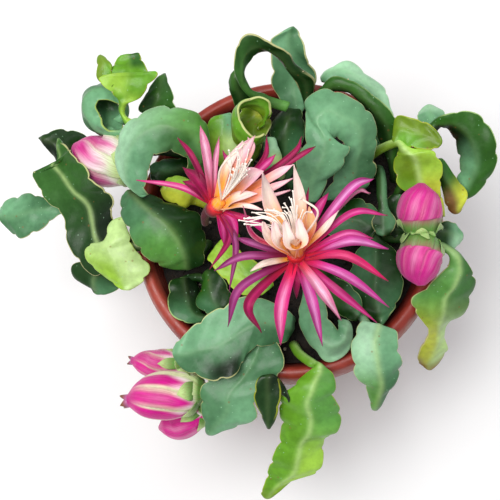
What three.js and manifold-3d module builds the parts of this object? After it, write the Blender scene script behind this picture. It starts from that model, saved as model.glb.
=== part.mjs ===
// Potted curly orchid cactus: a round plastic pot of soil with flattened, curled stems,
// two open blooms and six buds. Millimetres, +Z up. The origin is the centre of the pot's foot.
import * as THREE from 'three';
import { mergeVertices } from 'three/addons/utils/BufferGeometryUtils.js';
import Module from 'manifold-3d';

const wasm = await Module();
wasm.setup();

// ---------------------------------------------------------------- driving dimensions
const POT = {
  height: 190, mouthRadius: 115, collarRadius: 125, skirtRadius: 127, collarDrop: 22,
  footRadius: 84, wall: 3, floor: 4, sides: 28,
  drainRadius: 6, drainRing: 45, drainCount: 4,
};
const SOIL = {
  top: -23, floorGap: 0.3, wallGap: 0.5, bump: 2.5, sides: 14,
  holeDepth: 12, holeRadius: 6.4, holeSides: 4,
};
const STEM = {
  stalkHalfWidth: 4.2, ribHalf: 2.7, fleshHalf: 1.7, edgeHalf: 0.65,
  toothPitch: 64, curlLength: 20, ringsPerTooth: 2, toothDepth: 2.4, waveHeight: 1.4, waveLength: 44,
};
const PETAL = {
  keelHalf: 0.95, edgeHalf: 0.5, tipHalf: 0.6, baseShare: 0.3, widest: 0.5, stations: [0, 0.32, 0.66, 1],
};
const BLOOM = {
  focus: 60, lift: 0.9, sides: 6, tubeRadii: [3, 3.4, 4.4, 7.6, 10], collarRadii: [6.4, 5.8, 4.8],
  outerLevel: -3.2, innerLevel: 3, innerSpread: 4, discRadii: [3.2, 2.6],
};
const BUD = { sides: 10, rings: 7, ridge: 0.05, ridges: 6, fullness: [0.14, 0.56, 0.94, 1, 0.74, 0.26] };
const FILAMENT = { radius: 0.9, sides: 3, rings: 3, belly: 8, anther: 1.5 };
const GAP = 0.3;
const WELD = 0.3;

// The plan of the plant is drawn on the plane of the pot's rim as it looks from EYE, a point
// above the rim. A height above the rim then moves a point along its line to EYE.
const EYE = new THREE.Vector3(39, -202, 788);
const SKY = new THREE.Vector3(0, 0, 1);

// ---------------------------------------------------------------- finishes
const FINISH = {
  pot: { color: 0xc2533f, roughness: 0.45 },
  soil: { color: 0x2a1d14, roughness: 0.95 },
  glaucous: { color: 0x6f9f80, roughness: 0.5 },
  green: { color: 0x4b7f3c, roughness: 0.45 },
  shade: { color: 0x2e5a33, roughness: 0.45 },
  lime: { color: 0x9cb83f, roughness: 0.45 },
  magenta: { color: 0xc9307f, roughness: 0.4 },
  cream: { color: 0xf6dfd6, roughness: 0.45 },
  white: { color: 0xfbf6ea, roughness: 0.5 },
  bud: { color: 0xd95fa4, roughness: 0.4 },
};

// ---------------------------------------------------------------- layout of the plant
// A stem is a list of ribbons. Each has a root in the soil (true x, y) or starts inside the stem
// before it, the points of its round stalk (x, y, height), and the stations of its blade: left
// edge x, y, height, right edge x, y, height, and how far the middle stands out of that line.
const STEMS = {
  left_arch: [
    { root: [-67, 43], stalk: [[-71, 43, 8]],
      blade: [
        [-82, 47, 26, -67, 57, 30, 2],
        [-83, 57, 40, -64, 76, 44, 6],
        [-90, 63, 48, -70, 95, 50, 8],
        [-99, 65, 52, -86, 102, 53, 9],
        [-108, 62, 53, -106, 106, 54, 9],
        [-114, 54, 50, -126, 98, 51, 9],
        [-116, 43, 45, -139, 82, 45, 7],
        [-116, 33, 39, -144, 59, 37, 5],
        [-115, 28, 34, -135, 41, 31, 3],
        [-116, 27, 33, -123, 32, 30, 0],
      ] },
  ],
  left_folded: [
    { root: [-67, -11], stalk: [[-72, -26, -6]],
      blade: [
        [-94, -34, -2, -68, -30, 0, 2],
        [-104, -31, 8, -66, -15, 6, 8],
        [-115, -25, 20, -68, -1, 11, 12],
        [-124, -15, 22, -73, 11, 14, 14],
        [-131, -2, 24, -88, 18, 18, 12],
        [-138, 14, 24, -105, 24, 21, 8],
        [-137, 25, 19, -117, 29, 21, 4],
        [-133, 32, 19, -128, 33, 20, 0],
      ] },
  ],
  left_yellow: [
    { root: [-68, 23], stalk: [],
      blade: [
        [-78, 19, -8, -73, 31, -4, 1],
        [-85, 16, 0, -80, 40, 4, 3],
        [-95, 21, 4, -90, 44, 8, 4],
        [-101, 24, 5, -98, 43, 9, 3],
        [-105, 31, 8, -102, 38, 9, 0],
      ] },
  ],
  left_shade: [
    { root: [-80, 41], stalk: [],
      blade: [
        [-80, 40, -10, -82, 57, -9, 1],
        [-92, 37, -4, -94, 59, -1, 2],
        [-104, 35, 4, -106, 58, 6, 2],
        [-113, 41, 7, -114, 53, 7, 0],
      ] },
  ],
  left_broad: [
    { root: [-86, -11], stalk: [[-102, -16, 2], [-120, -15, 6]],
      blade: [
        [-130, -25, 5, -131, -5, 7, 1],
        [-153, -40, -8, -139, 0, 4, 3],
        [-172, -28, -9, -144, 11, 10, -3],
        [-182, -7, -8, -144, 23, 16, -5],
        [-185, 9, -7, -150, 33, 20, -5],
        [-198, 22, -7, -161, 42, 22, -5],
        [-208, 38, -9, -171, 56, 21, -4],
        [-216, 50, -11, -180, 66, 17, -3],
        [-202, 51, -6, -183, 69, 14, -2],
        [-193, 57, 0, -188, 74, 9, -1],
        [-194, 79, 4, -192, 80, 4, 0],
      ] },
    { stalk: [[-133, -13, 5], [-151, -10, -7], [-164, -2, -17]],
      blade: [
        [-183, 13, -24, -186, 25, -23, 1],
        [-195, 8, -29, -200, 27, -27, 4],
        [-208, -2, -33, -215, 32, -31, 5],
        [-221, -7, -37, -230, 29, -35, 5],
        [-232, 1, -39, -237, 23, -38, 3],
        [-238, 9, -41, -239, 15, -41, 0],
      ] },
    { stalk: [[-132, -14, 5]],
      blade: [
        [-135, -33, -5, -157, -23, -8, 2],
        [-134, -47, -12, -175, -29, -18, 3],
        [-139, -52, -16, -173, -41, -24, 2],
        [-151, -55, -24, -158, -50, -26, 0],
      ] },
  ],
  left_pale: [
    { root: [-88, 7], stalk: [[-103, 3, 2], [-118, 5, 9]],
      blade: [
        [-132, 4, 14, -144, 6, 13, 1],
        [-128, -8, 15, -151, -10, 13, 4],
        [-124, -19, 14, -165, -14, 9, 5],
        [-112, -32, 10, -163, -28, 6, 5],
        [-115, -43, 7, -150, -40, 3, 3],
        [-127, -52, 3, -135, -51, 2, 0],
      ] },
  ],
  left_dark: [
    { root: [-66, 59], stalk: [[-83, 62, 1], [-101, 66, 11], [-116, 66, 5], [-136, 66, -22]],
      blade: [
        [-161, 59, -31, -159, 75, -30, 1],
        [-180, 55, -28, -173, 84, -25, 3],
        [-190, 55, -24, -187, 88, -20, 4],
        [-199, 67, -22, -198, 86, -19, 3],
        [-208, 79, -22, -210, 81, -21, 0],
      ] },
  ],
  upper_left_folded: [
    { root: [-66, 75], stalk: [[-82, 74, 6], [-101, 83, 16], [-121, 88, 22], [-131, 91, 22]],
      blade: [
        [-141, 102, 24, -136, 99, 24, 0],
        [-142, 112, 30, -134, 108, 29, 0],
        [-148, 120, 36, -124, 113, 34, -2],
        [-156, 126, 40, -117, 123, 40, -3],
        [-161, 133, 43, -109, 133, 44, -3],
        [-160, 136, 43, -110, 136, 43, 0],
      ] },
    { stalk: [[-134, 123, 35]],
      blade: [
        [-151, 131, 35, -116, 130, 36, 0],
        [-149, 142, 37, -118, 139, 38, -2],
        [-146, 149, 34, -122, 147, 34, -2],
        [-143, 152, 33, -125, 154, 33, 0],
      ] },
    { stalk: [[-146, 125, 36]],
      blade: [
        [-161, 132, 36, -148, 133, 37, 0],
        [-162, 144, 40, -149, 144, 41, -2],
        [-162, 152, 38, -155, 152, 39, -1],
        [-160, 154, 38, -158, 154, 38, 0],
      ] },
    { stalk: [[-122, 89, 22]],
      blade: [
        [-138, 80, 6, -142, 85, 18, 1],
        [-157, 83, 2, -154, 90, 20, 2],
        [-169, 93, 3, -158, 98, 21, 3],
        [-173, 106, 5, -161, 106, 23, 4],
        [-172, 119, 9, -157, 111, 24, 5],
        [-160, 126, 13, -148, 112, 23, 4],
        [-146, 123, 15, -139, 107, 19, 3],
        [-136, 109, 11, -140, 100, 15, 2],
        [-136, 91, 1, -146, 96, 11, 3],
      ] },
    { stalk: [[-149, 85, 12]],
      blade: [
        [-160, 88, 0, -138, 85, 0, -1],
        [-164, 102, -4, -137, 101, -4, -3],
        [-162, 115, 0, -139, 114, 0, -2],
        [-155, 121, 5, -146, 121, 5, 0],
      ] },
  ],
  upper_left_wedge: [
    { root: [-55, 75], stalk: [[-67, 84, 3], [-83, 97, 13]],
      blade: [
        [-123, 101, 10, -91, 101, 12, 2],
        [-119, 115, 15, -95, 114, 17, 4],
        [-113, 126, 17, -99, 125, 18, 2],
        [-105, 134, 16, -102, 135, 16, 0],
      ] },
  ],
  top_ring: [
    { root: [26, 70], stalk: [[21, 93, 10], [18, 109, 28]],
      blade: [
        [9, 121, 44, 24, 125, 49, -2],
        [3, 132, 54, 9, 138, 62, 0],
        [-2, 141, 59, 3, 149, 73, 2],
        [-11, 150, 62, -7, 158, 80, 2],
        [-22, 153, 63, -20, 165, 84, 2],
        [-29, 147, 63, -33, 167, 84, 2],
        [-34, 137, 61, -42, 157, 81, 2],
        [-34, 127, 57, -45, 143, 74, 2],
        [-29, 118, 50, -41, 128, 61, 2],
        [-20, 114, 43, -30, 111, 45, 2],
        [-8, 109, 40, -15, 102, 38, 1],
        [4, 106, 38, 0, 97, 36, 0],
      ] },
  ],
  top_bluish: [
    { root: [2, 78], stalk: [[8, 93, 0]],
      blade: [
        [-5, 108, 7, 21, 109, 7, 0],
        [-12, 122, 15, 25, 119, 14, -3],
        [-12, 138, 24, 25, 130, 23, -5],
        [-13, 153, 33, 18, 145, 34, -5],
        [-13, 162, 38, 16, 157, 38, -4],
        [-5, 168, 41, 12, 168, 41, -2],
        [3, 173, 43, 7, 174, 43, 0],
      ] },
  ],
  top_band: [
    { root: [-44, 81], stalk: [[-38, 96, 2]],
      blade: [
        [-44, 107, 18, -30, 110, 18, 1],
        [-48, 123, 30, -33, 121, 30, 3],
        [-46, 132, 37, -37, 129, 37, 2],
        [-44, 136, 40, -40, 136, 40, 0],
      ] },
  ],
  top_green_ring: [
    { root: [-32, 61], stalk: [[-26, 63, 16]],
      blade: [
        [-21, 70, 38, -18, 78, 58, 0],
        [-32, 65, 36, -28, 77, 60, 1],
        [-41, 71, 38, -36, 83, 62, 1],
        [-45, 83, 40, -39, 92, 63, 1],
        [-44, 96, 42, -38, 102, 63, 1],
        [-36, 102, 44, -32, 108, 62, 1],
        [-27, 98, 43, -22, 112, 61, 1],
        [-20, 91, 41, -13, 107, 59, 1],
        [-23, 84, 38, -13, 96, 51, 1],
        [-25, 83, 36, -17, 89, 44, 0],
      ] },
    { stalk: [[-28, 68, 34]],
      blade: [
        [-15, 80, 34, -39, 81, 34, 0],
        [-12, 92, 30, -40, 93, 30, -3],
        [-17, 105, 36, -37, 105, 36, -2],
      ] },
  ],
  top_pale: [
    { root: [-49, 53], stalk: [],
      blade: [
        [-62, 59, 10, -40, 63, 10, 2],
        [-67, 76, 18, -37, 77, 16, 4],
        [-65, 90, 22, -42, 95, 20, 3],
        [-61, 95, 23, -47, 98, 22, 0],
      ] },
  ],
  top_dark: [
    { root: [2, 39], stalk: [[-1, 40, -4]],
      blade: [
        [-15, 52, 8, 12, 55, 8, 3],
        [-15, 68, 16, 14, 72, 16, 6],
        [-13, 82, 20, 15, 88, 20, 8],
        [-8, 94, 20, 13, 96, 20, 4],
        [-3, 96, 18, 10, 97, 18, 0],
      ] },
    { stalk: [[-5, 41, 2]],
      blade: [
        [-19, 49, 18, -2, 50, 19, 1],
        [-19, 64, 26, -5, 62, 27, 3],
        [-18, 75, 28, -9, 74, 28, 1],
      ] },
  ],
  top_spiral: [
    { root: [47, 40], stalk: [[51, 28, -6]],
      blade: [
        [29, 21, -2, 63, 29, 6, 2],
        [35, 34, 9, 73, 42, 18, 3],
        [42, 48, 21, 72, 57, 33, 4],
        [46, 60, 35, 75, 76, 45, 5],
        [47, 69, 46, 69, 96, 55, 5],
        [41, 72, 51, 53, 108, 60, 5],
        [36, 74, 54, 34, 117, 62, 5],
        [38, 72, 56, 16, 107, 59, 5],
        [46, 66, 55, 17, 89, 56, 5],
        [52, 64, 52, 14, 69, 52, 5],
        [46, 49, 45, 7, 50, 45, 5],
        [34, 36, 37, 7, 38, 38, 4],
        [25, 19, 28, 15, 20, 29, 0],
      ] },
  ],
  top_far_pale: [
    { root: [63, 64], stalk: [[75, 68, 1], [85, 83, 10]],
      blade: [
        [74, 98, 8, 86, 99, 8, 1],
        [63, 109, 7, 82, 115, 6, 3],
        [53, 116, 7, 69, 127, 6, 4],
        [44, 120, 6, 54, 139, 5, 4],
        [35, 121, 4, 41, 136, 3, 3],
        [30, 122, 1, 29, 127, 1, 0],
      ] },
  ],
  top_arch: [
    { root: [89, 44], stalk: [[86, 54, 5]],
      blade: [
        [75, 72, 14, 95, 80, 22, 2],
        [73, 86, 22, 87, 94, 32, 3],
        [68, 96, 25, 76, 106, 36, 3],
        [61, 105, 27, 67, 115, 38, 3],
        [53, 114, 27, 56, 123, 38, 3],
        [42, 115, 25, 40, 127, 35, 3],
        [33, 111, 20, 30, 119, 28, 2],
        [28, 107, 15, 27, 113, 16, 0],
      ] },
  ],
  right_loop: [
    { root: [90, 25], stalk: [[99, 42, 4], [107, 59, 10]],
      blade: [
        [118, 83, 16, 125, 78, 15, 0],
        [130, 91, 26, 131, 79, 13, 2],
        [145, 94, 30, 135, 72, 10, 3],
        [160, 87, 29, 139, 63, 6, 4],
        [170, 69, 22, 140, 53, 2, 4],
        [171, 52, 12, 140, 44, -3, 4],
        [164, 36, 2, 138, 36, -8, 4],
        [154, 24, -8, 137, 28, -12, 3],
        [146, 18, -14, 141, 21, -15, 0],
      ] },
    { stalk: [[109, 64, 11]],
      blade: [
        [108, 83, 8, 127, 82, 8, 1],
        [108, 92, 5, 130, 91, 5, 3],
        [114, 98, 2, 123, 96, 2, 0],
      ] },
  ],
  right_lobed: [
    { root: [53, 47], stalk: [[64, 52, 3], [75, 61, 17], [90, 67, 27]],
      blade: [
        [101, 62, 31, 92, 62, 29, 1],
        [119, 60, 33, 88, 54, 25, 3],
        [126, 50, 29, 87, 44, 22, -2],
        [126, 36, 22, 90, 32, 16, -3],
        [124, 26, 14, 101, 23, 11, -2],
        [126, 15, 7, 120, 15, 4, 0],
        [127, 4, 2, 124, 4, 1, 0],
      ] },
    { stalk: [[90, 67, 27]],
      blade: [
        [91, 90, 34, 97, 64, 30, 0],
        [104, 88, 38, 104, 62, 33, -2],
        [116, 84, 39, 117, 60, 34, -3],
        [124, 76, 37, 124, 62, 34, -1],
        [126, 70, 35, 126, 65, 34, 0],
      ] },
    { stalk: [[107, 47, 21], [116, 43, 15]],
      blade: [
        [126, 53, 14, 118, 42, 10, 1],
        [135, 39, 8, 125, 28, 2, 2],
        [145, 24, -2, 127, 14, -5, 2],
        [141, 12, -7, 131, 8, -9, 1],
        [138, 8, -10, 135, 7, -11, 0],
      ] },
  ],
  right_round: [
    { root: [72, 46], stalk: [[75, 45, -3], [77, 35, 9], [77, 23, 13], [78, 12, 12]],
      blade: [
        [68, 1, 11, 88, 1, 11, 0],
        [71, -8, 9, 84, -8, 9, 0],
        [75, -11, 8, 80, -11, 8, 0],
      ] },
  ],
  right_pale_leaf: [
    { root: [79, -9], stalk: [[90, -13, -4], [109, -13, 5]],
      blade: [
        [118, -4, 10, 119, -16, 10, 1],
        [126, 0, 9, 126, -21, 8, 2],
        [134, -2, 5, 133, -23, 4, 2],
        [139, -10, 0, 138, -16, 0, 0],
      ] },
    { stalk: [[109, -13, 5], [120, -19, 9]],
      blade: [
        [136, -26, 8, 128, -28, 9, 1],
        [144, -38, 2, 126, -38, 8, 2],
        [149, -49, -6, 111, -51, 7, 3],
        [145, -59, -13, 98, -61, 6, 4],
        [137, -74, -21, 100, -72, 3, 4],
        [125, -84, -31, 107, -83, -10, 2],
        [122, -94, -42, 109, -92, -28, 2],
        [124, -103, -54, 103, -103, -42, 1],
        [118, -113, -64, 100, -110, -56, 1],
        [111, -118, -67, 106, -116, -66, 0],
      ] },
    { stalk: [[90, -13, -4]],
      blade: [
        [79, -5, -8, 95, -8, -8, 1],
        [78, 9, -9, 102, 3, -7, 3],
        [80, 17, -9, 102, 13, -6, 3],
        [85, 24, -7, 96, 22, -6, 0],
      ] },
  ],
  right_broad_dark: [
    { root: [71, 3], stalk: [[71, -13, -10]],
      blade: [
        [87, -24, -4, 55, -24, -7, 2],
        [93, -41, -4, 48, -45, -9, 4],
        [89, -61, -2, 51, -66, -9, 4],
        [81, -75, -1, 66, -77, -5, 2],
        [75, -83, 1, 72, -83, 0, 0],
      ] },
  ],
  centre_right_dark: [
    { root: [28, 6], stalk: [],
      blade: [
        [47, 18, -12, 31, -8, -9, 2],
        [61, 20, -5, 47, -15, -7, 3],
        [72, 12, -3, 63, -17, -5, 2],
        [76, 1, -3, 71, -8, -3, 0],
      ] },
  ],
  lower_right_pointed: [
    { root: [58, -72], stalk: [[63, -84, 0], [68, -90, 9]],
      blade: [
        [85, -88, 11, 58, -80, 11, 0],
        [86, -98, 10, 50, -95, 11, 3],
        [88, -108, 6, 50, -109, 8, 4],
        [89, -115, 0, 51, -120, 2, 4],
        [84, -126, -8, 59, -130, -8, 4],
        [77, -135, -16, 62, -138, -17, 3],
        [70, -148, -28, 64, -148, -28, 0],
      ] },
  ],
  lower_large: [
    { root: [4, -96], stalk: [[9, -105, -3], [18, -112, 6], [25, -115, 9]],
      blade: [
        [35, -121, 8, 13, -121, 8, 2],
        [37, -130, 8, 1, -132, 8, 5],
        [36, -139, 3, -7, -139, 3, 5],
        [41, -152, -9, -7, -150, -8, 5],
        [38, -164, -17, -6, -161, -16, 5],
        [28, -170, -24, -8, -172, -24, 3],
        [27, -181, -33, -13, -184, -33, 3],
        [23, -194, -44, -16, -194, -43, 3],
        [5, -202, -53, -19, -203, -51, 1],
        [-6, -208, -58, -22, -211, -57, 1],
        [-13, -214, -62, -20, -214, -62, 0],
      ] },
    { stalk: [],
      blade: [
        [0, -143, 5, 0, -136, 6, 0],
        [-7, -125, 15, -21, -123, 14, 1],
        [-6, -135, 13, -27, -133, 12, -3],
        [-7, -145, 8, -26, -143, 7, -3],
        [-10, -155, 1, -22, -153, -1, -2],
        [-14, -163, -6, -17, -162, -7, 0],
      ] },
  ],
  lower_left_large: [
    { root: [2, -75], stalk: [[2, -84, -8]],
      blade: [
        [-3, -96, 2, 3, -73, 4, 0],
        [-21, -99, 9, -9, -65, 10, 3],
        [-32, -104, 11, -24, -59, 13, 5],
        [-36, -113, 13, -37, -59, 17, 0],
        [-43, -122, 14, -53, -66, 19, -4],
        [-55, -126, 13, -64, -72, 19, -5],
        [-67, -124, 11, -73, -79, 18, -4],
        [-78, -120, 9, -81, -87, 16, 0],
        [-85, -114, 8, -89, -94, 14, 2],
        [-89, -106, 9, -91, -100, 11, 0],
      ] },
    { stalk: [[-19, -87, 9]],
      blade: [
        [-6, -100, 5, -41, -103, 4, 1],
        [-3, -113, 5, -52, -111, 4, 1],
        [-10, -127, 4, -63, -123, 2, -1],
        [-24, -142, 0, -69, -131, 1, 1],
        [-25, -154, -7, -70, -141, -3, 3],
        [-40, -162, -14, -68, -150, -9, 3],
        [-53, -165, -18, -65, -159, -16, 2],
        [-58, -167, -22, -65, -165, -21, 0],
      ] },
  ],
  lower_curly: [
    { root: [14, -43], stalk: [[16, -54, -6]],
      blade: [
        [28, -61, 2, 11, -63, 2, 1],
        [31, -70, 6, 8, -77, 3, 4],
        [33, -77, 8, 13, -91, 2, 5],
        [36, -82, 9, 20, -102, 2, 5],
        [38, -85, 10, 30, -111, 1, 5],
        [40, -85, 11, 41, -108, 2, 5],
        [40, -83, 12, 50, -98, 5, 4],
        [40, -81, 13, 50, -87, 9, 3],
        [39, -79, 11, 44, -78, 10, 0],
      ] },
  ],
  centre_yellow: [
    { root: [-44, -5], stalk: [[-50, -13, -6]],
      blade: [
        [-53, -12, 2, -64, -25, -2, -2],
        [-40, -19, 7, -61, -33, 2, -4],
        [-27, -29, 9, -50, -46, 3, -4],
        [-16, -39, 8, -35, -58, 2, -3],
        [-10, -49, 5, -21, -58, 2, 0],
      ] },
  ],
  lower_left_curled: [
    { root: [-68, -44], stalk: [[-72, -42, -15]],
      blade: [
        [-76, -41, -15, -93, -44, -6, 2],
        [-71, -53, -16, -97, -55, -3, 4],
        [-70, -64, -14, -94, -70, 3, 4],
        [-69, -71, -8, -83, -79, 3, 3],
        [-63, -75, -6, -70, -80, -4, 0],
      ] },
    { stalk: [[-67, -44, -17]],
      blade: [
        [-58, -36, -4, -67, -44, -8, 1],
        [-47, -51, -1, -74, -62, -8, 3],
        [-45, -63, -3, -66, -71, -8, 2],
        [-53, -68, -6, -59, -71, -8, 0],
      ] },
  ],
  lower_right_dark: [
    { root: [27, -32], stalk: [[32, -43, -6]],
      blade: [
        [39, -44, 4, 27, -54, 0, 1],
        [50, -50, 6, 35, -67, 1, 3],
        [58, -61, 5, 44, -77, 1, 2],
        [59, -72, 3, 54, -80, 2, 0],
      ] },
  ],
};

// A bloom has the points of its flower tube, its throat, its heart, which the petals look at,
// and a row for each petal: middle point, tip point and width.
const BLOOMS = {
  front: {
    tube: [[15, -49, 5], [10, -39, 32], [8, -31, 60]],
    throat: [7, -24, 84], heart: [7, -7, 104],
    outer: [
      [51, 28, 88, 71, 37, 78, 7.4],
      [53, 24, 80, 68, 25, 74, 3.7],
      [52, 8, 92, 81, 6, 82, 5.2],
      [47, -9, 96, 69, -13, 88, 5.9],
      [51, -15, 98, 81, -22, 86, 8.1],
      [47, -27, 98, 80, -48, 82, 7.4],
      [46, -43, 98, 80, -69, 80, 7.4],
      [39, -55, 96, 70, -81, 80, 6.7],
      [27, -55, 102, 42, -79, 88, 8.1],
      [19, -62, 98, 27, -99, 78, 8.1],
      [-5, -66, 102, -6, -98, 84, 9.6],
      [7, -46, 90, 7, -61, 80, 5.9],
      [-31, -64, 94, -21, -88, 80, 7.4],
      [-38, -52, 98, -48, -83, 82, 6.7],
      [-35, -26, 92, -59, -37, 80, 6.7],
      [-29, -15, 86, -41, -10, 78, 5.9],
      [24, 10, 78, 34, 26, 70, 7.4],
      [14, 10, 72, 18, 31, 66, 4.4],
      [-22, -1, 72, -38, 10, 69, 5.9],
      [-18, -32, 94, -30, -38, 92, 5.2],
    ],
    inner: [
      [-27, -9, 98, -36, 17, 106, 3.7, 0],
      [-13, 16, 104, -20, 45, 128, 11.8, 0],
      [11, 16, 100, 6, 51, 122, 8.9, 0],
      [-14, -12, 104, -20, 3, 115, 8.9, 0.5],
      [-7, -15, 110, -11, 3, 118, 9.6, 0.6],
      [2, -16, 112, -2, 4, 120, 9.6, 0.6],
      [12, -13, 110, 9, 5, 118, 9.6, 0.6],
      [19, -2, 98, 18, 15, 104, 8.9, 0.3],
      [29, -5, 94, 42, 11, 98, 5.2, 0],
    ],
    anthers: [
      [-2, 18, 118], [2, 23, 119], [8, 16, 116], [13, 12, 118],
      [20, 10, 118], [-32, 6, 108], [-29, 0, 106], [-25, 10, 110],
    ],
    style: [[25, 8, 118], [13, 21, 124]],
  },
  rear: {
    tube: [[-67, 3, 19], [-67, 9, 34], [-63, 15, 50]],
    throat: [-57, 18, 66], heart: [-43, 34, 94],
    outer: [
      [-88, 34, 72, -125, 41, 64, 5.2],
      [-78, 59, 78, -91, 77, 72, 5.2],
      [-67, 64, 86, -72, 87, 82, 7.4],
      [-59, 56, 83, -56, 77, 84, 4.4],
      [-74, 40, 74, -86, 51, 70, 9.6],
      [-75, 34, 72, -86, 39, 66, 8.9],
      [-48, 48, 71, -53, 65, 69, 5.9],
      [-20, 54, 78, -16, 77, 76, 4.4],
      [-20, 49, 80, -9, 60, 76, 5.9],
      [3, 58, 76, 13, 75, 74, 4.4],
      [9, 57, 76, 24, 66, 76, 4.4],
      [-47, -10, 58, -63, -36, 48, 5.2],
      [-42, -15, 56, -47, -55, 42, 5.2],
      [-53, 0, 60, -51, -17, 52, 6.7],
      [-45, 5, 62, -40, -12, 54, 6.7],
      [-37, 7, 62, -20, 4, 56, 5.2],
    ],
    inner: [
      [-40, 58, 88, -26, 77, 98, 10.4, 0.1],
      [-33, 40, 96, -19, 46, 104, 13.3, 0.3],
      [-50, 50, 86, -36, 73, 94, 7.4, 0.1],
      [-10, 42, 98, 6, 51, 106, 6.7, 0],
      [-13, 31, 96, 5, 39, 104, 5.9, 0],
      [-19, 23, 92, 3, 29, 98, 4.4, 0],
      [-36, 17, 88, -20, 13, 94, 5.2, 0],
      [-42, 24, 84, -24, 27, 94, 8.9, 0.2],
      [-30, 63, 90, -32, 76, 94, 5.2, 0],
    ],
    anthers: [
      [-36, 69, 112], [-38, 41, 108], [-49, 54, 110], [-44, 49, 116],
      [-33, 47, 118], [-29, 56, 120],
    ],
    style: [[-55, 48, 108], [-36, 69, 114]],
  },
};
const BUDS = {
  bud_left: {
    line: [[-122, 60, 4], [-132, 58, 4], [-156, 59, 2], [-179, 72, 0]],
    radius: 21, tips: 0,
  },
  bud_right_upper: {
    line: [[105, -9, 18], [107, -3, 26], [107, 12, 32], [109, 32, 34]],
    radius: 17, tips: 0,
  },
  bud_right_lower: {
    line: [[109, -16, 13], [107, -20, 24], [105, -33, 26], [106, -52, 24]],
    radius: 17, tips: 0,
  },
  bud_lower_small: {
    line: [[-80, -112, -6], [-85, -112, -18], [-105, -112, -35], [-125, -109, -42]],
    radius: 12, tips: 3,
  },
  bud_lower_large: {
    line: [[-66, -133, -11], [-75, -133, -11], [-101, -137, -11], [-128, -141, -16]],
    radius: 19, tips: 4,
  },
  bud_lower_hidden: {
    line: [[-65, -145, -20], [-69, -147, -28], [-84, -158, -46], [-101, -162, -54]],
    radius: 13.5, tips: 0,
  },
};
// Stems that are not plain green.
const STEM_FINISH = {
  left_arch: 'glaucous', left_yellow: 'lime', left_shade: 'shade', left_pale: 'lime', left_dark: 'shade',
  upper_left_folded: 'lime', upper_left_wedge: 'shade', top_bluish: 'glaucous', top_band: 'shade',
  top_pale: 'lime', top_dark: 'shade', top_spiral: 'glaucous', top_far_pale: 'glaucous', top_arch: 'shade',
  right_loop: 'shade', right_lobed: 'lime', right_round: 'glaucous', right_pale_leaf: 'glaucous',
  right_broad_dark: 'shade', centre_right_dark: 'shade', lower_right_pointed: 'glaucous',
  lower_large: 'lime', lower_left_large: 'glaucous', lower_curly: 'glaucous', centre_yellow: 'lime',
  lower_left_curled: 'shade', lower_right_dark: 'shade',
};

// ---------------------------------------------------------------- small helpers
/** Moves a plan point at the given height above the rim to its place in the part's frame. */
function place([x, y, height]) {
  const share = height / EYE.z;
  return new THREE.Vector3(x + (EYE.x - x) * share, y + (EYE.y - y) * share, POT.height + height);
}

const lerp = THREE.MathUtils.lerp;
const smooth = (value, low, high) => THREE.MathUtils.smoothstep(value, low, high);

/** A curve that passes through points, one unit of u for each span. */
function through(points) {
  const curve = new THREE.CatmullRomCurve3(points, false, 'catmullrom', 0.5);
  const spans = points.length - 1;
  return (u) => curve.getPoint(THREE.MathUtils.clamp(u / spans, 0, 1));
}

/** The same for plain numbers. */
function throughValues(values) {
  const curve = through(values.map((value) => new THREE.Vector3(value, 0, 0)));
  return (u) => curve(u).x;
}

/** An indexed geometry whose faces point outwards, whichever way round they were listed. */
function geometryOf(vertices, faces) {
  const wedge = ([a, b, c]) => vertices[a].dot(vertices[b].clone().cross(vertices[c]));
  const volume = faces.reduce((sum, face) => sum + wedge(face), 0);
  const outward = volume > 0 ? faces : faces.map(([a, b, c]) => [a, c, b]);
  const geometry = new THREE.BufferGeometry();
  const numbers = vertices.flatMap((vertex) => vertex.toArray());
  geometry.setAttribute('position', new THREE.Float32BufferAttribute(numbers, 3));
  geometry.setIndex(outward.flat());
  return geometry;
}

function solidOf(geometry) {
  const bare = geometry.clone();
  bare.deleteAttribute('normal');
  bare.deleteAttribute('uv');
  const merged = mergeVertices(bare, 1e-4);
  return new wasm.Manifold(new wasm.Mesh({
    numProp: 3,
    vertProperties: new Float32Array(merged.attributes.position.array),
    triVerts: new Uint32Array(merged.index.array),
  }));
}

function geometryOfSolid(solid) {
  const mesh = solid.getMesh();
  const geometry = new THREE.BufferGeometry();
  geometry.setAttribute('position', new THREE.BufferAttribute(new Float32Array(mesh.vertProperties), 3));
  geometry.setIndex(new THREE.BufferAttribute(new Uint32Array(mesh.triVerts), 1));
  return geometry;
}

/** Joins closed geometries that grow from each other into one body, without slivers under WELD. */
function fused(geometries) {
  if (geometries.length === 1) return geometries[0];
  return geometryOfSolid(geometries.map(solidOf).reduce((whole, next) => whole.add(next)).simplify(WELD));
}

/**
 * A closed skin over rings of points. Every ring has the same number of points, and each end is
 * closed by strips between the two halves of its ring.
 */
function skin(rings) {
  const count = rings[0].length;
  const faces = [];
  for (let i = 0; i + 1 < rings.length; i++) {
    for (let j = 0; j < count; j++) {
      const a = i * count + j;
      const b = i * count + ((j + 1) % count);
      const onTop = j < count / 2 - 1;
      if (onTop) faces.push([a, b, b + count], [a, b + count, a + count]);
      else faces.push([a, b, a + count], [b, b + count, a + count]);
    }
  }
  const last = (rings.length - 1) * count;
  for (let j = 0; j + 1 < count / 2; j++) {
    const low = count - 1 - j;
    const high = j;
    faces.push([high, low, high + 1], [high + 1, low, low - 1]);
    faces.push([last + high, last + high + 1, last + low], [last + high + 1, last + low - 1, last + low]);
  }
  return geometryOf(rings.flat(), faces);
}

// ---------------------------------------------------------------- stems
const ACROSS = [-1, -0.5, 0, 0.5, 1];

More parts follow.
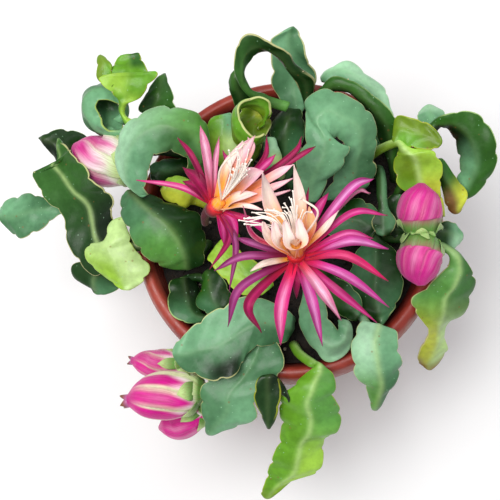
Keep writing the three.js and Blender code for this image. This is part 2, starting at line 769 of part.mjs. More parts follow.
/** Stations of a ribbon from its root to its tip: left edge, right edge and crown. */
function stationsOf({ root, stalk, blade }) {
  const stations = blade.map(([lx, ly, lz, rx, ry, rz, crown]) => ({
    left: place([lx, ly, lz]), right: place([rx, ry, rz]), crown,
  }));
  const path = stalk.map(place);
  if (root) {
    const low = POT.height + SOIL.top;
    path.unshift(new THREE.Vector3(root[0], root[1], low + 7));
    path.unshift(new THREE.Vector3(root[0], root[1], low - SOIL.holeDepth + GAP));
  }
  const side = stations[0].right.clone().sub(stations[0].left).normalize();
  let next = stations[0].left.clone().add(stations[0].right).multiplyScalar(0.5);
  for (const point of path.reverse()) {
    const along = next.clone().sub(point).normalize();
    side.addScaledVector(along, -side.dot(along)).normalize();
    const half = side.clone().multiplyScalar(STEM.stalkHalfWidth);
    stations.unshift({ left: point.clone().sub(half), right: point.clone().add(half), crown: 0 });
    next = point;
  }
  return { stations, stalkSpans: path.length };
}

/**
 * Ring places along a ribbon: one at each stalk point, then evenly by the margins' mean length,
 * with a curl counted as extra length so that it gets more of them.
 */
function ringPlaces(left, right, stalkSpans, spans) {
  const places = [];
  for (let u = 0; u < stalkSpans; u++) places.push({ u, tooth: 0, scallop: 0 });
  const steps = 12;
  const lengths = [0];
  let past = null;
  for (let k = 1; k <= (spans - stalkSpans) * steps; k++) {
    const [here, before] = [stalkSpans + k / steps, stalkSpans + (k - 1) / steps];
    const grown = left(here).distanceTo(left(before)) + right(here).distanceTo(right(before));
    const heading = left(here).add(right(here)).sub(left(before)).sub(right(before));
    const bend = past ? heading.angleTo(past) : 0;
    past = heading;
    lengths.push(lengths[k - 1] + grown / 2 + STEM.curlLength * bend);
  }
  const total = lengths.at(-1);
  const teeth = Math.max(2, Math.round(total / STEM.toothPitch));
  const rings = teeth * STEM.ringsPerTooth;
  for (let r = 0; r <= rings; r++) {
    const target = (total * r) / rings;
    let k = lengths.findIndex((length) => length >= target - 1e-9);
    if (k < 1) k = 1;
    const part = (target - lengths[k - 1]) / (lengths[k] - lengths[k - 1]);
    const u = stalkSpans + (k - 1 + part) / steps;
    places.push({ u, tooth: r / STEM.ringsPerTooth, length: target, scallop: 1 });
  }
  return places;
}

/** How far a margin is drawn in at a place along the teeth, from 0 at a lobe to 1 in a notch. */
function notch(tooth) {
  return Math.pow(1 - Math.abs(Math.sin(Math.PI * tooth)), 2);
}

/** One flattened stem: a ribbon with a midrib, scalloped and waved margins and a round stalk. */
function ribbon(plan, turn) {
  const { stations, stalkSpans } = stationsOf(plan);
  const left = through(stations.map((station) => station.left));
  const right = through(stations.map((station) => station.right));
  const crown = throughValues(stations.map((station) => station.crown));
  const mid = (u) => left(u).add(right(u)).multiplyScalar(0.5);
  const spans = stations.length - 1;
  const rings = ringPlaces(left, right, stalkSpans, spans).map(({ u, tooth, length, scallop }) => {
    const side = right(u).sub(left(u)).multiplyScalar(0.5);
    const half = side.length();
    const along = mid(Math.min(u + 0.05, spans)).sub(mid(Math.max(u - 0.05, 0))).normalize();
    const up = side.clone().cross(along).normalize();
    const rise = crown(u);
    const flat = smooth(half, STEM.stalkHalfWidth, STEM.stalkHalfWidth * 2.2);
    const points = ACROSS.map((v) => {
      const inset = Math.min(STEM.toothDepth, half * 0.2) * notch(tooth + (v > 0 ? 0.5 : 0)) * scallop / half;
      const across = v * (1 - inset * Math.abs(v));
      const phase = (2 * Math.PI * (length ?? 0)) / STEM.waveLength + turn + v;
      const wave = STEM.waveHeight * flat * v * v * Math.sin(phase);
      const centre = mid(u).addScaledVector(side, across).addScaledVector(up, rise * (1 - v * v) + wave);
      const slope = side.clone().addScaledVector(up, -2 * rise * v);
      const normal = slope.cross(along).normalize();
      const round = Math.max(Math.min(half, STEM.stalkHalfWidth) * Math.sqrt(1 - v * v) * 0.85, STEM.edgeHalf);
      const blade = [STEM.ribHalf, STEM.fleshHalf, STEM.edgeHalf][Math.abs(v) * 2];
      return { centre, reach: normal.multiplyScalar(lerp(round, Math.min(blade, half), flat)) };
    });
    const top = points.map(({ centre, reach }) => centre.clone().add(reach));
    const bottom = points.map(({ centre, reach }) => centre.clone().sub(reach)).reverse();
    return [...top, ...bottom];
  });
  return skin(rings);
}

const stemSolid = (plans) => fused(plans.map((plan, index) => ribbon(plan, index * 1.7)));

// ---------------------------------------------------------------- blooms and buds
/** A narrow keeled petal from the throat over a middle point to its tip, pointed or blunt. */
function petal(from, middle, tip, width, facing, blunt) {
  const line = through([from, middle, tip]);
  const rings = [];
  for (const share of PETAL.stations) {
    const u = share * 2;
    const along = line(Math.min(u + 0.1, 2)).sub(line(Math.max(u - 0.1, 0))).normalize();
    const up = facing.clone().addScaledVector(along, -facing.dot(along)).normalize();
    const side = along.clone().cross(up).normalize();
    const swell = share < PETAL.widest
      ? lerp(PETAL.baseShare, 1, smooth(share, -PETAL.widest, PETAL.widest))
      : 1 - Math.pow((share - PETAL.widest) / (1 - PETAL.widest), 1.7);
    const half = Math.max(0.5 * width * Math.max(swell, blunt), PETAL.tipHalf);
    const centre = line(u);
    const top = [-1, 0, 1].map((v) => centre.clone().addScaledVector(side, v * half)
      .addScaledVector(up, v === 0 ? PETAL.keelHalf - 0.1 * half : PETAL.edgeHalf));
    const bottom = [1, 0, -1].map((v) => centre.clone().addScaledVector(side, v * half)
      .addScaledVector(up, v === 0 ? -PETAL.keelHalf - 0.1 * half : -PETAL.edgeHalf));
    rings.push([...top, ...bottom]);
  }
  return skin(rings);
}

/** A round body along a curve, its radius given for each point, closed at both ends. */
function roundBody(points, radii, sides, rings, ridge = 0, ridges = 0) {
  const line = through(points);
  const radius = throughValues(radii);
  const spans = points.length - 1;
  let side = new THREE.Vector3(0.31, 0.89, 0.34);
  const skins = [];
  for (let r = 0; r <= rings; r++) {
    const u = (spans * r) / rings;
    const along = line(Math.min(u + 0.05, spans)).sub(line(Math.max(u - 0.05, 0))).normalize();
    side = side.clone().addScaledVector(along, -side.dot(along)).normalize();
    const up = along.clone().cross(side);
    const ring = [];
    for (let k = 0; k < sides; k++) {
      const angle = (-2 * Math.PI * k) / sides;
      const reach = radius(u) * (1 + ridge * Math.cos(ridges * angle + r * 0.5));
      const [across, above] = [Math.cos(angle) * reach, Math.sin(angle) * reach];
      ring.push(line(u).addScaledVector(side, across).addScaledVector(up, above));
    }
    skins.push(ring);
  }
  return skin(skins);
}

/** The three solids of a bloom: outer petals with the tube, inner petals, stamens with the style. */
function bloomSolids({ tube, throat, heart, outer, inner, anthers, style }) {
  const mouth = place(throat);
  const axis = place(heart).sub(mouth).normalize();
  const focus = mouth.clone().addScaledVector(axis, BLOOM.focus);
  const petalsFrom = (rows, level, spread) => rows.map(([mx, my, mz, tx, ty, tz, width, blunt = 0]) => {
    const middle = place([mx, my, mz]);
    const core = mouth.clone().addScaledVector(axis, level);
    const out = middle.clone().sub(core);
    out.addScaledVector(axis, -out.dot(axis)).normalize();
    const from = core.addScaledVector(out, spread);
    const facing = focus.clone().sub(middle).normalize().addScaledVector(SKY, BLOOM.lift).normalize();
    return petal(from, middle, place([tx, ty, tz]), width, facing, blunt);
  });
  const level = (share) => mouth.clone().addScaledVector(axis, share);
  const cup = roundBody([...tube.map(place), level(-8), level(0)], BLOOM.tubeRadii, BLOOM.sides, 7);
  const collar = roundBody([level(GAP), level(4), level(8)], BLOOM.collarRadii, BLOOM.sides, 2);
  const disc = roundBody([level(8 + GAP), level(11)], BLOOM.discRadii, 6, 1);
  const threads = [...anthers.map((tip) => [tip, FILAMENT.anther]), [style[1], FILAMENT.anther * 1.4]];
  const filaments = threads.map(([tip, anther], index) => {
    const end = place(tip);
    const start = level(9.5);
    const bowed = start.clone().lerp(end, 0.5).addScaledVector(axis, FILAMENT.belly);
    const belly = index === threads.length - 1 ? place(style[0]) : bowed;
    const radii = [FILAMENT.radius, FILAMENT.radius, anther];
    return roundBody([start, belly, end], radii, FILAMENT.sides, FILAMENT.rings);
  });
  return {
    outer: fused([cup, ...petalsFrom(outer, BLOOM.outerLevel, BLOOM.tubeRadii.at(-1) - 2)]),
    inner: fused([collar, ...petalsFrom(inner, BLOOM.innerLevel, BLOOM.innerSpread)]),
    stamens: fused([disc, ...filaments]),
  };
}

/** A closed bud: a ridged body on a short stalk, with small free petal tips at its end. */
function budSolid({ line, radius, tips }) {
  const points = line.map(place);
  const [foot, base, waist, tip] = points;
  const body = roundBody(
    [foot, base, base.clone().lerp(waist, 0.5), waist, waist.clone().lerp(tip, 0.55), tip],
    BUD.fullness.map((share) => share * radius), BUD.sides, BUD.rings, BUD.ridge, BUD.ridges);
  const along = tip.clone().sub(waist).normalize();
  const side = along.clone().cross(new THREE.Vector3(0, 0, 1)).normalize();
  const up = side.clone().cross(along);
  const freeTips = [...Array(tips).keys()].map((k) => {
    const angle = (2 * Math.PI * k) / tips + 0.6;
    const out = side.clone().multiplyScalar(Math.cos(angle)).addScaledVector(up, Math.sin(angle));
    const start = tip.clone().addScaledVector(along, -radius * 0.45).addScaledVector(out, radius * 0.16);
    const end = tip.clone().addScaledVector(along, radius * 0.22).addScaledVector(out, radius * 0.3);
    return roundBody([start, end], [1.8, 0.7], 5, 1);
  });
  return fused([body, ...freeTips]);
}

// ---------------------------------------------------------------- pot and soil
const ring = (radius, height) => new THREE.Vector2(radius, height);

/** Turns a closed profile round the pot's axis. */
function turned(profile, sides) {
  const geometry = new THREE.LatheGeometry(profile, sides);
  geometry.rotateX(Math.PI / 2);
  return geometry;
}

/** Radius of the pot's inner wall at a height above the foot. */
function innerWall(z) {
  return lerp(POT.footRadius - POT.wall, POT.mouthRadius, z / POT.height);
}

function potSolid() {
  const { height, mouthRadius, collarRadius, skirtRadius, collarDrop, footRadius, wall, floor } = POT;
  const skirt = height - collarDrop;
  const outerWall = (z) => innerWall(z) + wall;
  const body = turned([
    ring(0, 0), ring(footRadius - 1, 0),
    ring(footRadius, 2), ring(outerWall(skirt - 6), skirt - 6), ring(outerWall(height - 9), height - 9),
    ring(skirtRadius - 3.4, height - 9), ring(skirtRadius - 2.6, skirt), ring(skirtRadius, skirt),
    ring(skirtRadius - 0.4, height - 10), ring(collarRadius, height - 4), ring(collarRadius - 2.6, height - 1),
    ring(collarRadius - 6, height), ring(mouthRadius + 1.4, height - 1), ring(innerWall(height - 3), height - 3),
    ring(innerWall(floor), floor), ring(0, floor),
  ], POT.sides);
  const drains = [...Array(POT.drainCount).keys()].map((k) => {
    const angle = (2 * Math.PI * (k + 0.5)) / POT.drainCount;
    const hole = new THREE.CylinderGeometry(POT.drainRadius, POT.drainRadius, 3 * floor, 8);
    hole.rotateX(Math.PI / 2);
    return hole.translate(POT.drainRing * Math.cos(angle), POT.drainRing * Math.sin(angle), floor / 2);
  });
  return geometryOfSolid(drains.map(solidOf).reduce((pot, drain) => pot.subtract(drain), solidOf(body)));
}

function soilSolid() {
  const top = POT.height + SOIL.top;
  const low = POT.floor + SOIL.floorGap;
  const edge = (z) => innerWall(z) - SOIL.wallGap;
  const body = turned([
    ring(0, low), ring(edge(low), low), ring(edge(top - 3), top - 3), ring(edge(top) * 0.88, top),
    ring(edge(top) * 0.6, top), ring(edge(top) * 0.3, top), ring(0, top),
  ], SOIL.sides);
  const spots = body.getAttribute('position');
  for (let i = 0; i < spots.count; i++) {
    const [x, y, z] = [spots.getX(i), spots.getY(i), spots.getZ(i)];
    const lumps = Math.sin(x * 0.11 + 1) * Math.cos(y * 0.13) + 0.5 * Math.sin(x * 0.23 - y * 0.19);
    if (z > top - 1) spots.setZ(i, z + SOIL.bump * lumps);
  }
  const roots = Object.values(STEMS).flat().filter((plan) => plan.root).map((plan) => plan.root);
  const holes = roots.map(([x, y]) => {
    const depth = SOIL.holeDepth + 12;
    const hole = new THREE.CylinderGeometry(SOIL.holeRadius, SOIL.holeRadius, depth, SOIL.holeSides);
    hole.rotateX(Math.PI / 2);
    return hole.translate(x, y, top - SOIL.holeDepth + depth / 2);
  });
  return geometryOfSolid(holes.map(solidOf).reduce((soil, hole) => soil.subtract(hole), solidOf(body)));
}

// ---------------------------------------------------------------- the plant in its pot
const plant = new THREE.Group();

function add(name, geometry, finish) {
  const mesh = new THREE.Mesh(geometry, new THREE.MeshStandardMaterial({ ...FINISH[finish], metalness: 0 }));
  mesh.name = name;
  plant.add(mesh);
}

add('pot', potSolid(), 'pot');
add('soil', soilSolid(), 'soil');
for (const [name, plans] of Object.entries(STEMS)) {
  add(`stem_${name}`, stemSolid(plans), STEM_FINISH[name] ?? 'green');
}
for (const [name, plan] of Object.entries(BLOOMS)) {
  const { outer, inner, stamens } = bloomSolids(plan);
  add(`bloom_${name}_outer_petals`, outer, 'magenta');
  add(`bloom_${name}_inner_petals`, inner, 'cream');
  add(`bloom_${name}_stamens`, stamens, 'white');
}
for (const [name, plan] of Object.entries(BUDS)) add(name, budSolid(plan), 'bud');

export default plant;
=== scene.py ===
"""Potted orchid cactus with flat curled stems, two open blooms and six closed buds.

The layout tables are in millimetres. A plan point lies on the plane of the pot's rim as it looks
from EYE, and a height above the rim moves it along its line to EYE. Meshes are in metres, in the
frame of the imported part: the origin is the centre of the pot's foot and +Z is up.
"""

import logging
import math
from collections.abc import Sequence
from dataclasses import dataclass, field
from enum import Enum
from functools import cache, partial
from typing import Any

import bmesh
import bpy
import numpy as np
from mathutils import Matrix, Vector


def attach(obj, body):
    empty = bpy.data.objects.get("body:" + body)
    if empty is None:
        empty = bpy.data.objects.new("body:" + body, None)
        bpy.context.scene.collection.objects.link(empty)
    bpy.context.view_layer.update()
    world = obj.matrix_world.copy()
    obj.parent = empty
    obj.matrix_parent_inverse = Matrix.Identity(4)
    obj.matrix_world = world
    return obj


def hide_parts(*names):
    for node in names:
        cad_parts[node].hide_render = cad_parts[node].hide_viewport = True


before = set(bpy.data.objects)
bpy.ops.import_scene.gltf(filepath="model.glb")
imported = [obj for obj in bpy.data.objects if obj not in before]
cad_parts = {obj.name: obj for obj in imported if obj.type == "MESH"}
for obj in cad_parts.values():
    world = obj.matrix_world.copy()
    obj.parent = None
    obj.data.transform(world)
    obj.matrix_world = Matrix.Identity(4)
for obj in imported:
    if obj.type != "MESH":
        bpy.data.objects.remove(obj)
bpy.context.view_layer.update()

LOG = logging.getLogger("potted_orchid_cactus")
MM = 0.001
BODY = "root"
SEED = 11

# ---- driving dimensions, mm
RIM_HEIGHT = 190.0
SOIL_TOP = RIM_HEIGHT - 23.0
ROOT_DEPTH = 11.7
EYE = np.array([39.0, -202.0, 788.0])
SKY = np.array([0.0, 0.0, 1.0])

Row = tuple[float, ...]
Array = np.ndarray
Mesh, Piece, Material = bpy.types.Mesh, bpy.types.Object, bpy.types.Material
Tree, Node, Socket = bpy.types.NodeTree, bpy.types.Node, bpy.types.NodeSocket


def to_linear(display: Sequence[float]) -> Array:
    """A display colour in linear light."""
    value = np.asarray(display, float)
    return np.where(value <= 0.04045, value / 12.92, ((value + 0.055) / 1.055) ** 2.4)


class Tone(Enum):
    """The greens, pinks and browns that the pieces are tinted with, as display colours.
    The greens also hold painted light and shade: DEEP is painted shadow, DARK and SEA are partly
    greens in shade, and PALE and MIST are partly painted light on lit faces.
    """

    DEEP = (0.04, 0.12, 0.03)
    DARK = (0.09, 0.22, 0.06)
    LEAF = (0.17, 0.36, 0.09)
    GREEN = (0.33, 0.56, 0.22)
    SEA = (0.25, 0.44, 0.28)
    BLUE = (0.41, 0.62, 0.45)
    MIST = (0.61, 0.79, 0.63)
    FRESH = (0.38, 0.60, 0.10)
    LIME = (0.60, 0.77, 0.24)
    PALE = (0.74, 0.86, 0.55)
    GOLD = (0.76, 0.79, 0.22)
    OLIVE = (0.40, 0.52, 0.05)
    BROWN = (0.50, 0.34, 0.17)
    STRAW = (0.84, 0.83, 0.58)
    CREAM = (0.98, 0.90, 0.83)
    BLUSH = (0.96, 0.70, 0.78)
    ORANGE = (0.98, 0.66, 0.14)
    SCARLET = (0.88, 0.14, 0.16)
    CRIMSON = (0.55, 0.03, 0.22)
    MAROON = (0.34, 0.04, 0.13)

    @property
    def linear(self) -> Array:
        """The colour in linear light."""
        return to_linear(self.value)


class Hue(Enum):
    """The petals' colours: the blade, the stripe along its middle and its foot."""

    MAGENTA = ((0.78, 0.06, 0.46), (0.93, 0.48, 0.74), (0.88, 0.08, 0.28))
    LILAC = ((0.78, 0.20, 0.58), (0.92, 0.64, 0.86), (0.88, 0.10, 0.34))
    # CRIMSON is partly the petals' own deep red and partly painted shade on petals in shadow.
    CRIMSON = ((0.56, 0.03, 0.27), (0.74, 0.10, 0.40), (0.68, 0.05, 0.18))
    PALE = ((0.90, 0.50, 0.66), (0.97, 0.80, 0.88), (0.86, 0.20, 0.30))
    ROSE = ((0.84, 0.14, 0.50), (0.96, 0.60, 0.78), (0.90, 0.10, 0.26))
    MAUVE = ((0.55, 0.14, 0.42), (0.76, 0.42, 0.66), (0.55, 0.06, 0.22))
    RED = ((0.82, 0.07, 0.38), (0.94, 0.38, 0.60), (0.92, 0.14, 0.22))
    ORCHID = ((0.82, 0.05, 0.54), (0.99, 0.93, 0.94), (0.60, 0.05, 0.34))
    CREAM = ((0.98, 0.90, 0.84), (1.00, 0.95, 0.90), (0.99, 0.70, 0.14))
    BLUSH = ((0.96, 0.72, 0.78), (1.00, 0.90, 0.88), (0.98, 0.60, 0.24))
    ORANGE = ((0.98, 0.72, 0.40), (0.99, 0.84, 0.62), (0.96, 0.40, 0.12))

    @property
    def linear(self) -> tuple[Array, ...]:
        """The three colours in linear light."""
        return tuple(to_linear(colour) for colour in self.value)


class Slot(Enum):
    """The material slots of the record."""

    BLUISH = "stem_bluish"
    GREEN = "stem_green"
    DARK = "stem_dark"
    LIME = "stem_lime"
    MAGENTA = "petal_magenta"
    CREAM = "petal_cream"
    WHITE = "stamen_white"
    BUD = "bud"
    POT = "pot"
    SOIL = "soil"


@dataclass(frozen=True)
class Blade:
    """One flat stem: its tones, its foot in the soil, its round stalk and its blade.

    The tones are those of the near left, near right, far left and far right of the blade, with
    one more where the tip has a colour of its own. Besides the stem's own greens they hold painted
    light and shade: a side or an end is lighter where it faces the light and darker where it is in
    shade. A station is the left edge x, y, height, the right edge x, y, height, and how far the
    middle stands out of the line between them. The rib is how much the midrib shines through. The
    hollow shade is a painted shadow where the blade curls: where it lies, along and across, and
    how dark it is.
    """

    tones: str
    root: Row | None
    stalk: tuple[Row, ...]
    stations: tuple[Row, ...]
    rib: float = 0.0
    hollow_shade: Row = (0.0, 0.0, 0.0)


@dataclass(frozen=True)
class BloomPlan:
    """A bloom: points of its tube, its throat and heart, its petals and its threads.

    A petal's row is its middle, its tip, its width and, where it is blunt, how much. Each petal has
    a hue. The style has a middle and an end.
    """

    tube: tuple[Row, ...]
    throat: Row
    heart: Row
    outer: tuple[Row, ...]
    outer_hues: str
    inner: tuple[Row, ...]
    inner_hues: str
    anthers: tuple[Row, ...]
    style: tuple[Row, ...]


@dataclass(frozen=True)
class BudPlan:
    """A closed bud: foot, base, widest point and tip, its radius and its free petal tips.

    Pale is how far its whitish foot reaches, band how pale the edges of its petals are, and green
    how far its green scales reach.
    """

    line: tuple[Row, ...]
    radius: float
    tips: int = 0
    pale: float = 0.3
    band: float = 0.3
    green: float = 0.2


# ---- layout of the plant, mm
# The blades' tones paint light and shade as well as their own greens: DEEP and DARK blades are stems in
# shadow, and the two sides of a fold take a lit and a shaded tone.
STEMS: dict[str, tuple[Slot, tuple[Blade, ...]]] = {
    "left_arch": (Slot.BLUISH, (Blade("LEAF GREEN BLUE MIST", (-67, 43), ((-71, 43, 8),), (
        (-82, 47, 26, -67, 57, 30, 2), (-83, 57, 40, -64, 76, 44, 6), (-90, 63, 48, -70, 95, 50, 8),
        (-99, 65, 52, -86, 102, 53, 9), (-108, 62, 53, -106, 106, 54, 9), (-114, 54, 50, -126, 98, 51, 9),
        (-116, 43, 45, -139, 82, 45, 7), (-116, 33, 39, -144, 59, 37, 5), (-115, 28, 34, -135, 41, 31, 3),
        (-116, 27, 33, -123, 32, 30, 0),
    )),)),
    "left_folded": (Slot.GREEN, (Blade("GREEN DARK SEA DARK", (-67, -11), ((-72, -26, -6),), (
        (-94, -34, -2, -68, -30, 0, 2), (-104, -31, 8, -66, -15, 6, 8), (-115, -25, 20, -68, -1, 11, 12),
        (-124, -15, 22, -73, 11, 14, 14), (-131, -2, 24, -88, 18, 18, 12), (-138, 14, 24, -105, 24, 21, 8),
        (-137, 25, 19, -117, 29, 21, 4), (-133, 32, 19, -128, 33, 20, 0),
    ), rib=0.12, hollow_shade=(0.95, 0.1, 0.8)),)),
    "left_yellow": (Slot.LIME, (Blade("GOLD LIME GOLD LIME", (-68, 23), (), (
        (-78, 19, -8, -73, 31, -4, 1), (-85, 16, 0, -80, 40, 4, 3), (-95, 21, 4, -90, 44, 8, 4),
        (-101, 24, 5, -98, 43, 9, 3), (-105, 31, 8, -102, 38, 9, 0),
    )),)),
    # left_shade is a dark sheet that fills a gap where there is mostly shade: its deep tones are painted
    # shade.
    "left_shade": (Slot.DARK, (Blade("DEEP DARK DARK SEA", (-80, 41), (), (
        (-80, 40, -10, -82, 57, -9, 1), (-92, 37, -4, -94, 59, -1, 2), (-104, 35, 4, -106, 58, 6, 2),
        (-113, 41, 7, -114, 53, 7, 0),
    )),)),
    "left_broad": (Slot.GREEN, (
        Blade("DARK DEEP LEAF LEAF", (-86, -11), ((-102, -16, 2), (-120, -15, 6)), (
            (-130, -25, 5, -131, -5, 7, 1), (-153, -40, -8, -139, 0, 4, 3),
            (-172, -28, -9, -144, 11, 10, -3), (-182, -7, -8, -144, 23, 16, -5),
            (-185, 9, -7, -150, 33, 20, -5), (-198, 22, -7, -161, 42, 22, -5),
            (-208, 38, -9, -171, 56, 21, -4), (-216, 50, -11, -180, 66, 17, -3),
            (-202, 51, -6, -183, 69, 14, -2), (-193, 57, 0, -188, 74, 9, -1), (-194, 79, 4, -192, 80, 4, 0),
        ), rib=0.5),
        Blade("BLUE SEA SEA BLUE", None, ((-133, -13, 5), (-151, -10, -7), (-164, -2, -17)), (
            (-183, 13, -24, -186, 25, -23, 1), (-195, 8, -29, -200, 27, -27, 4),
            (-208, -2, -33, -215, 32, -31, 5), (-221, -7, -37, -230, 29, -35, 5),
            (-232, 1, -39, -237, 23, -38, 3), (-238, 9, -41, -239, 15, -41, 0),
        )),
        Blade("DARK DARK SEA DARK", None, ((-132, -14, 5),), (
            (-135, -33, -5, -157, -23, -8, 2), (-134, -47, -12, -175, -29, -18, 3),
            (-139, -52, -16, -173, -41, -24, 2), (-151, -55, -24, -158, -50, -26, 0),
        ), rib=0.1),
    )),
    "left_pale": (Slot.LIME, (Blade("PALE PALE PALE LIME", (-88, 7), ((-103, 3, 2), (-118, 5, 9)), (
        (-132, 4, 14, -144, 6, 13, 1), (-128, -8, 15, -151, -10, 13, 4), (-124, -19, 14, -165, -14, 9, 5),
        (-112, -32, 10, -163, -28, 6, 5), (-115, -43, 7, -150, -40, 3, 3), (-127, -52, 3, -135, -51, 2, 0),
    ), rib=0.3),)),
    "left_dark": (Slot.DARK, (
        Blade("DEEP DARK DEEP DARK", (-66, 59), (
            (-83, 62, 1), (-101, 66, 11), (-116, 66, 5), (-136, 66, -22),
        ), (
            (-161, 59, -31, -159, 75, -30, 1), (-180, 55, -28, -173, 84, -25, 3),
            (-190, 55, -24, -187, 88, -20, 4), (-199, 67, -22, -198, 86, -19, 3),
            (-208, 79, -22, -210, 81, -21, 0),
        )),
    )),
    "upper_left_folded": (Slot.LIME, (
        Blade("FRESH LIME LIME FRESH", (-66, 75), (
            (-82, 74, 6), (-101, 83, 16), (-121, 88, 22), (-131, 91, 22),
        ), (
            (-141, 102, 24, -136, 99, 24, 0), (-142, 112, 30, -134, 108, 29, 0),
            (-148, 120, 36, -124, 113, 34, -2), (-156, 126, 40, -117, 123, 40, -3),
            (-161, 133, 43, -109, 133, 44, -3), (-160, 136, 43, -110, 136, 43, 0),
        )),
        Blade("FRESH FRESH FRESH LEAF", None, ((-134, 123, 35),), (
            (-151, 131, 35, -116, 130, 36, 0), (-149, 142, 37, -118, 139, 38, -2),
            (-146, 149, 34, -122, 147, 34, -2), (-143, 152, 33, -125, 154, 33, 0),
        )),
        Blade("OLIVE FRESH OLIVE OLIVE", None, ((-146, 125, 36),), (
            (-161, 132, 36, -148, 133, 37, 0), (-162, 144, 40, -149, 144, 41, -2),
            (-162, 152, 38, -155, 152, 39, -1), (-160, 154, 38, -158, 154, 38, 0),
        )),
        Blade("SEA BLUE SEA BLUE", None, ((-122, 89, 22),), (
            (-138, 80, 6, -142, 85, 18, 1), (-157, 83, 2, -154, 90, 20, 2), (-169, 93, 3, -158, 98, 21, 3),
            (-173, 106, 5, -161, 106, 23, 4), (-172, 119, 9, -157, 111, 24, 5),
            (-160, 126, 13, -148, 112, 23, 4), (-146, 123, 15, -139, 107, 19, 3),
            (-136, 109, 11, -140, 100, 15, 2), (-136, 91, 1, -146, 96, 11, 3),
        )),
        # A dark panel behind the curled cup that fills its hollow: its dark tones are painted shade.
        Blade("SEA BLUE DARK DARK", None, ((-149, 85, 12),), (
            (-160, 88, 0, -138, 85, 0, -1), (-164, 102, -4, -137, 101, -4, -3),
            (-162, 115, 0, -139, 114, 0, -2), (-155, 121, 5, -146, 121, 5, 0),
        )),
    )),
    "upper_left_wedge": (Slot.DARK, (
        Blade("DARK LEAF LEAF LEAF", (-55, 75), ((-67, 84, 3), (-83, 97, 13)), (
            (-123, 101, 10, -91, 101, 12, 2), (-119, 115, 15, -95, 114, 17, 4),
            (-113, 126, 17, -99, 125, 18, 2), (-105, 134, 16, -102, 135, 16, 0),
        )),
    )),
    "top_ring": (Slot.GREEN, (Blade("DARK DARK LEAF LEAF GREEN", (26, 70), ((21, 93, 10), (18, 109, 28)), (
        (9, 121, 44, 24, 125, 49, -2), (3, 132, 54, 9, 138, 62, 0), (-2, 141, 59, 3, 149, 73, 2),
        (-11, 150, 62, -7, 158, 80, 2), (-22, 153, 63, -20, 165, 84, 2), (-29, 147, 63, -33, 167, 84, 2),
        (-34, 137, 61, -42, 157, 81, 2), (-34, 127, 57, -45, 143, 74, 2), (-29, 118, 50, -41, 128, 61, 2),
        (-20, 114, 43, -30, 111, 45, 2), (-8, 109, 40, -15, 102, 38, 1), (4, 106, 38, 0, 97, 36, 0),
    )),)),
    "top_bluish": (Slot.BLUISH, (Blade("SEA BLUE BLUE SEA", (2, 78), ((8, 93, 0),), (
        (-5, 108, 7, 21, 109, 7, 0), (-12, 122, 15, 25, 119, 14, -3), (-12, 138, 24, 25, 130, 23, -5),
        (-13, 153, 33, 18, 145, 34, -5), (-13, 162, 38, 16, 157, 38, -4), (-5, 168, 41, 12, 168, 41, -2),
        (3, 173, 43, 7, 174, 43, 0),
    )),)),
    "top_band": (Slot.DARK, (Blade("DARK DARK LEAF DARK", (-44, 81), ((-38, 96, 2),), (
        (-44, 107, 18, -30, 110, 18, 1), (-48, 123, 30, -33, 121, 30, 3), (-46, 132, 37, -37, 129, 37, 2),
        (-44, 136, 40, -40, 136, 40, 0),
    )),)),
    "top_green_ring": (Slot.GREEN, (
        Blade("OLIVE FRESH OLIVE FRESH", (-32, 61), ((-26, 63, 16),), (
            (-21, 70, 38, -18, 78, 58, 0), (-32, 65, 36, -28, 77, 60, 1), (-41, 71, 38, -36, 83, 62, 1),
            (-45, 83, 40, -39, 92, 63, 1), (-44, 96, 42, -38, 102, 63, 1), (-36, 102, 44, -32, 108, 62, 1),
            (-27, 98, 43, -22, 112, 61, 1), (-20, 91, 41, -13, 107, 59, 1), (-23, 84, 38, -13, 96, 51, 1),
            (-25, 83, 36, -17, 89, 44, 0),
        )),
        Blade("OLIVE OLIVE GOLD OLIVE", None, ((-28, 68, 34),), (
            (-15, 80, 34, -39, 81, 34, 0), (-12, 92, 30, -40, 93, 30, -3), (-17, 105, 36, -37, 105, 36, -2),
        )),
    )),
    "top_pale": (Slot.LIME, (Blade("LIME PALE FRESH BLUE", (-49, 53), (), (
        (-62, 59, 10, -40, 63, 10, 2), (-67, 76, 18, -37, 77, 16, 4), (-65, 90, 22, -42, 95, 20, 3),
        (-61, 95, 23, -47, 98, 22, 0),
    )),)),
    "top_dark": (Slot.DARK, (
        Blade("DARK SEA DARK DARK", (2, 39), ((-1, 40, -4),), (
            (-15, 52, 8, 12, 55, 8, 3), (-15, 68, 16, 14, 72, 16, 6), (-13, 82, 20, 15, 88, 20, 8),
            (-8, 94, 20, 13, 96, 20, 4), (-3, 96, 18, 10, 97, 18, 0),
        )),
        Blade("BLUE PALE BLUE MIST", None, ((-5, 41, 2),), (
            (-19, 49, 18, -2, 50, 19, 1), (-19, 64, 26, -5, 62, 27, 3), (-18, 75, 28, -9, 74, 28, 1),
        )),
    )),
    "top_spiral": (Slot.BLUISH, (Blade("BLUE SEA BLUE BLUE", (47, 40), ((51, 28, -6),), (
        (29, 21, -2, 63, 29, 6, 2), (35, 34, 9, 73, 42, 18, 3), (42, 48, 21, 72, 57, 33, 4),
        (46, 60, 35, 75, 76, 45, 5), (47, 69, 46, 69, 96, 55, 5), (41, 72, 51, 53, 108, 60, 5),
        (36, 74, 54, 34, 117, 62, 5), (38, 72, 56, 16, 107, 59, 5), (46, 66, 55, 17, 89, 56, 5),
        (52, 64, 52, 14, 69, 52, 5), (46, 49, 45, 7, 50, 45, 5), (34, 36, 37, 7, 38, 38, 4),
        (25, 19, 28, 15, 20, 29, 0),
    )),)),
    "top_far_pale": (Slot.BLUISH, (Blade("BLUE MIST BLUE MIST", (63, 64), ((75, 68, 1), (85, 83, 10)), (
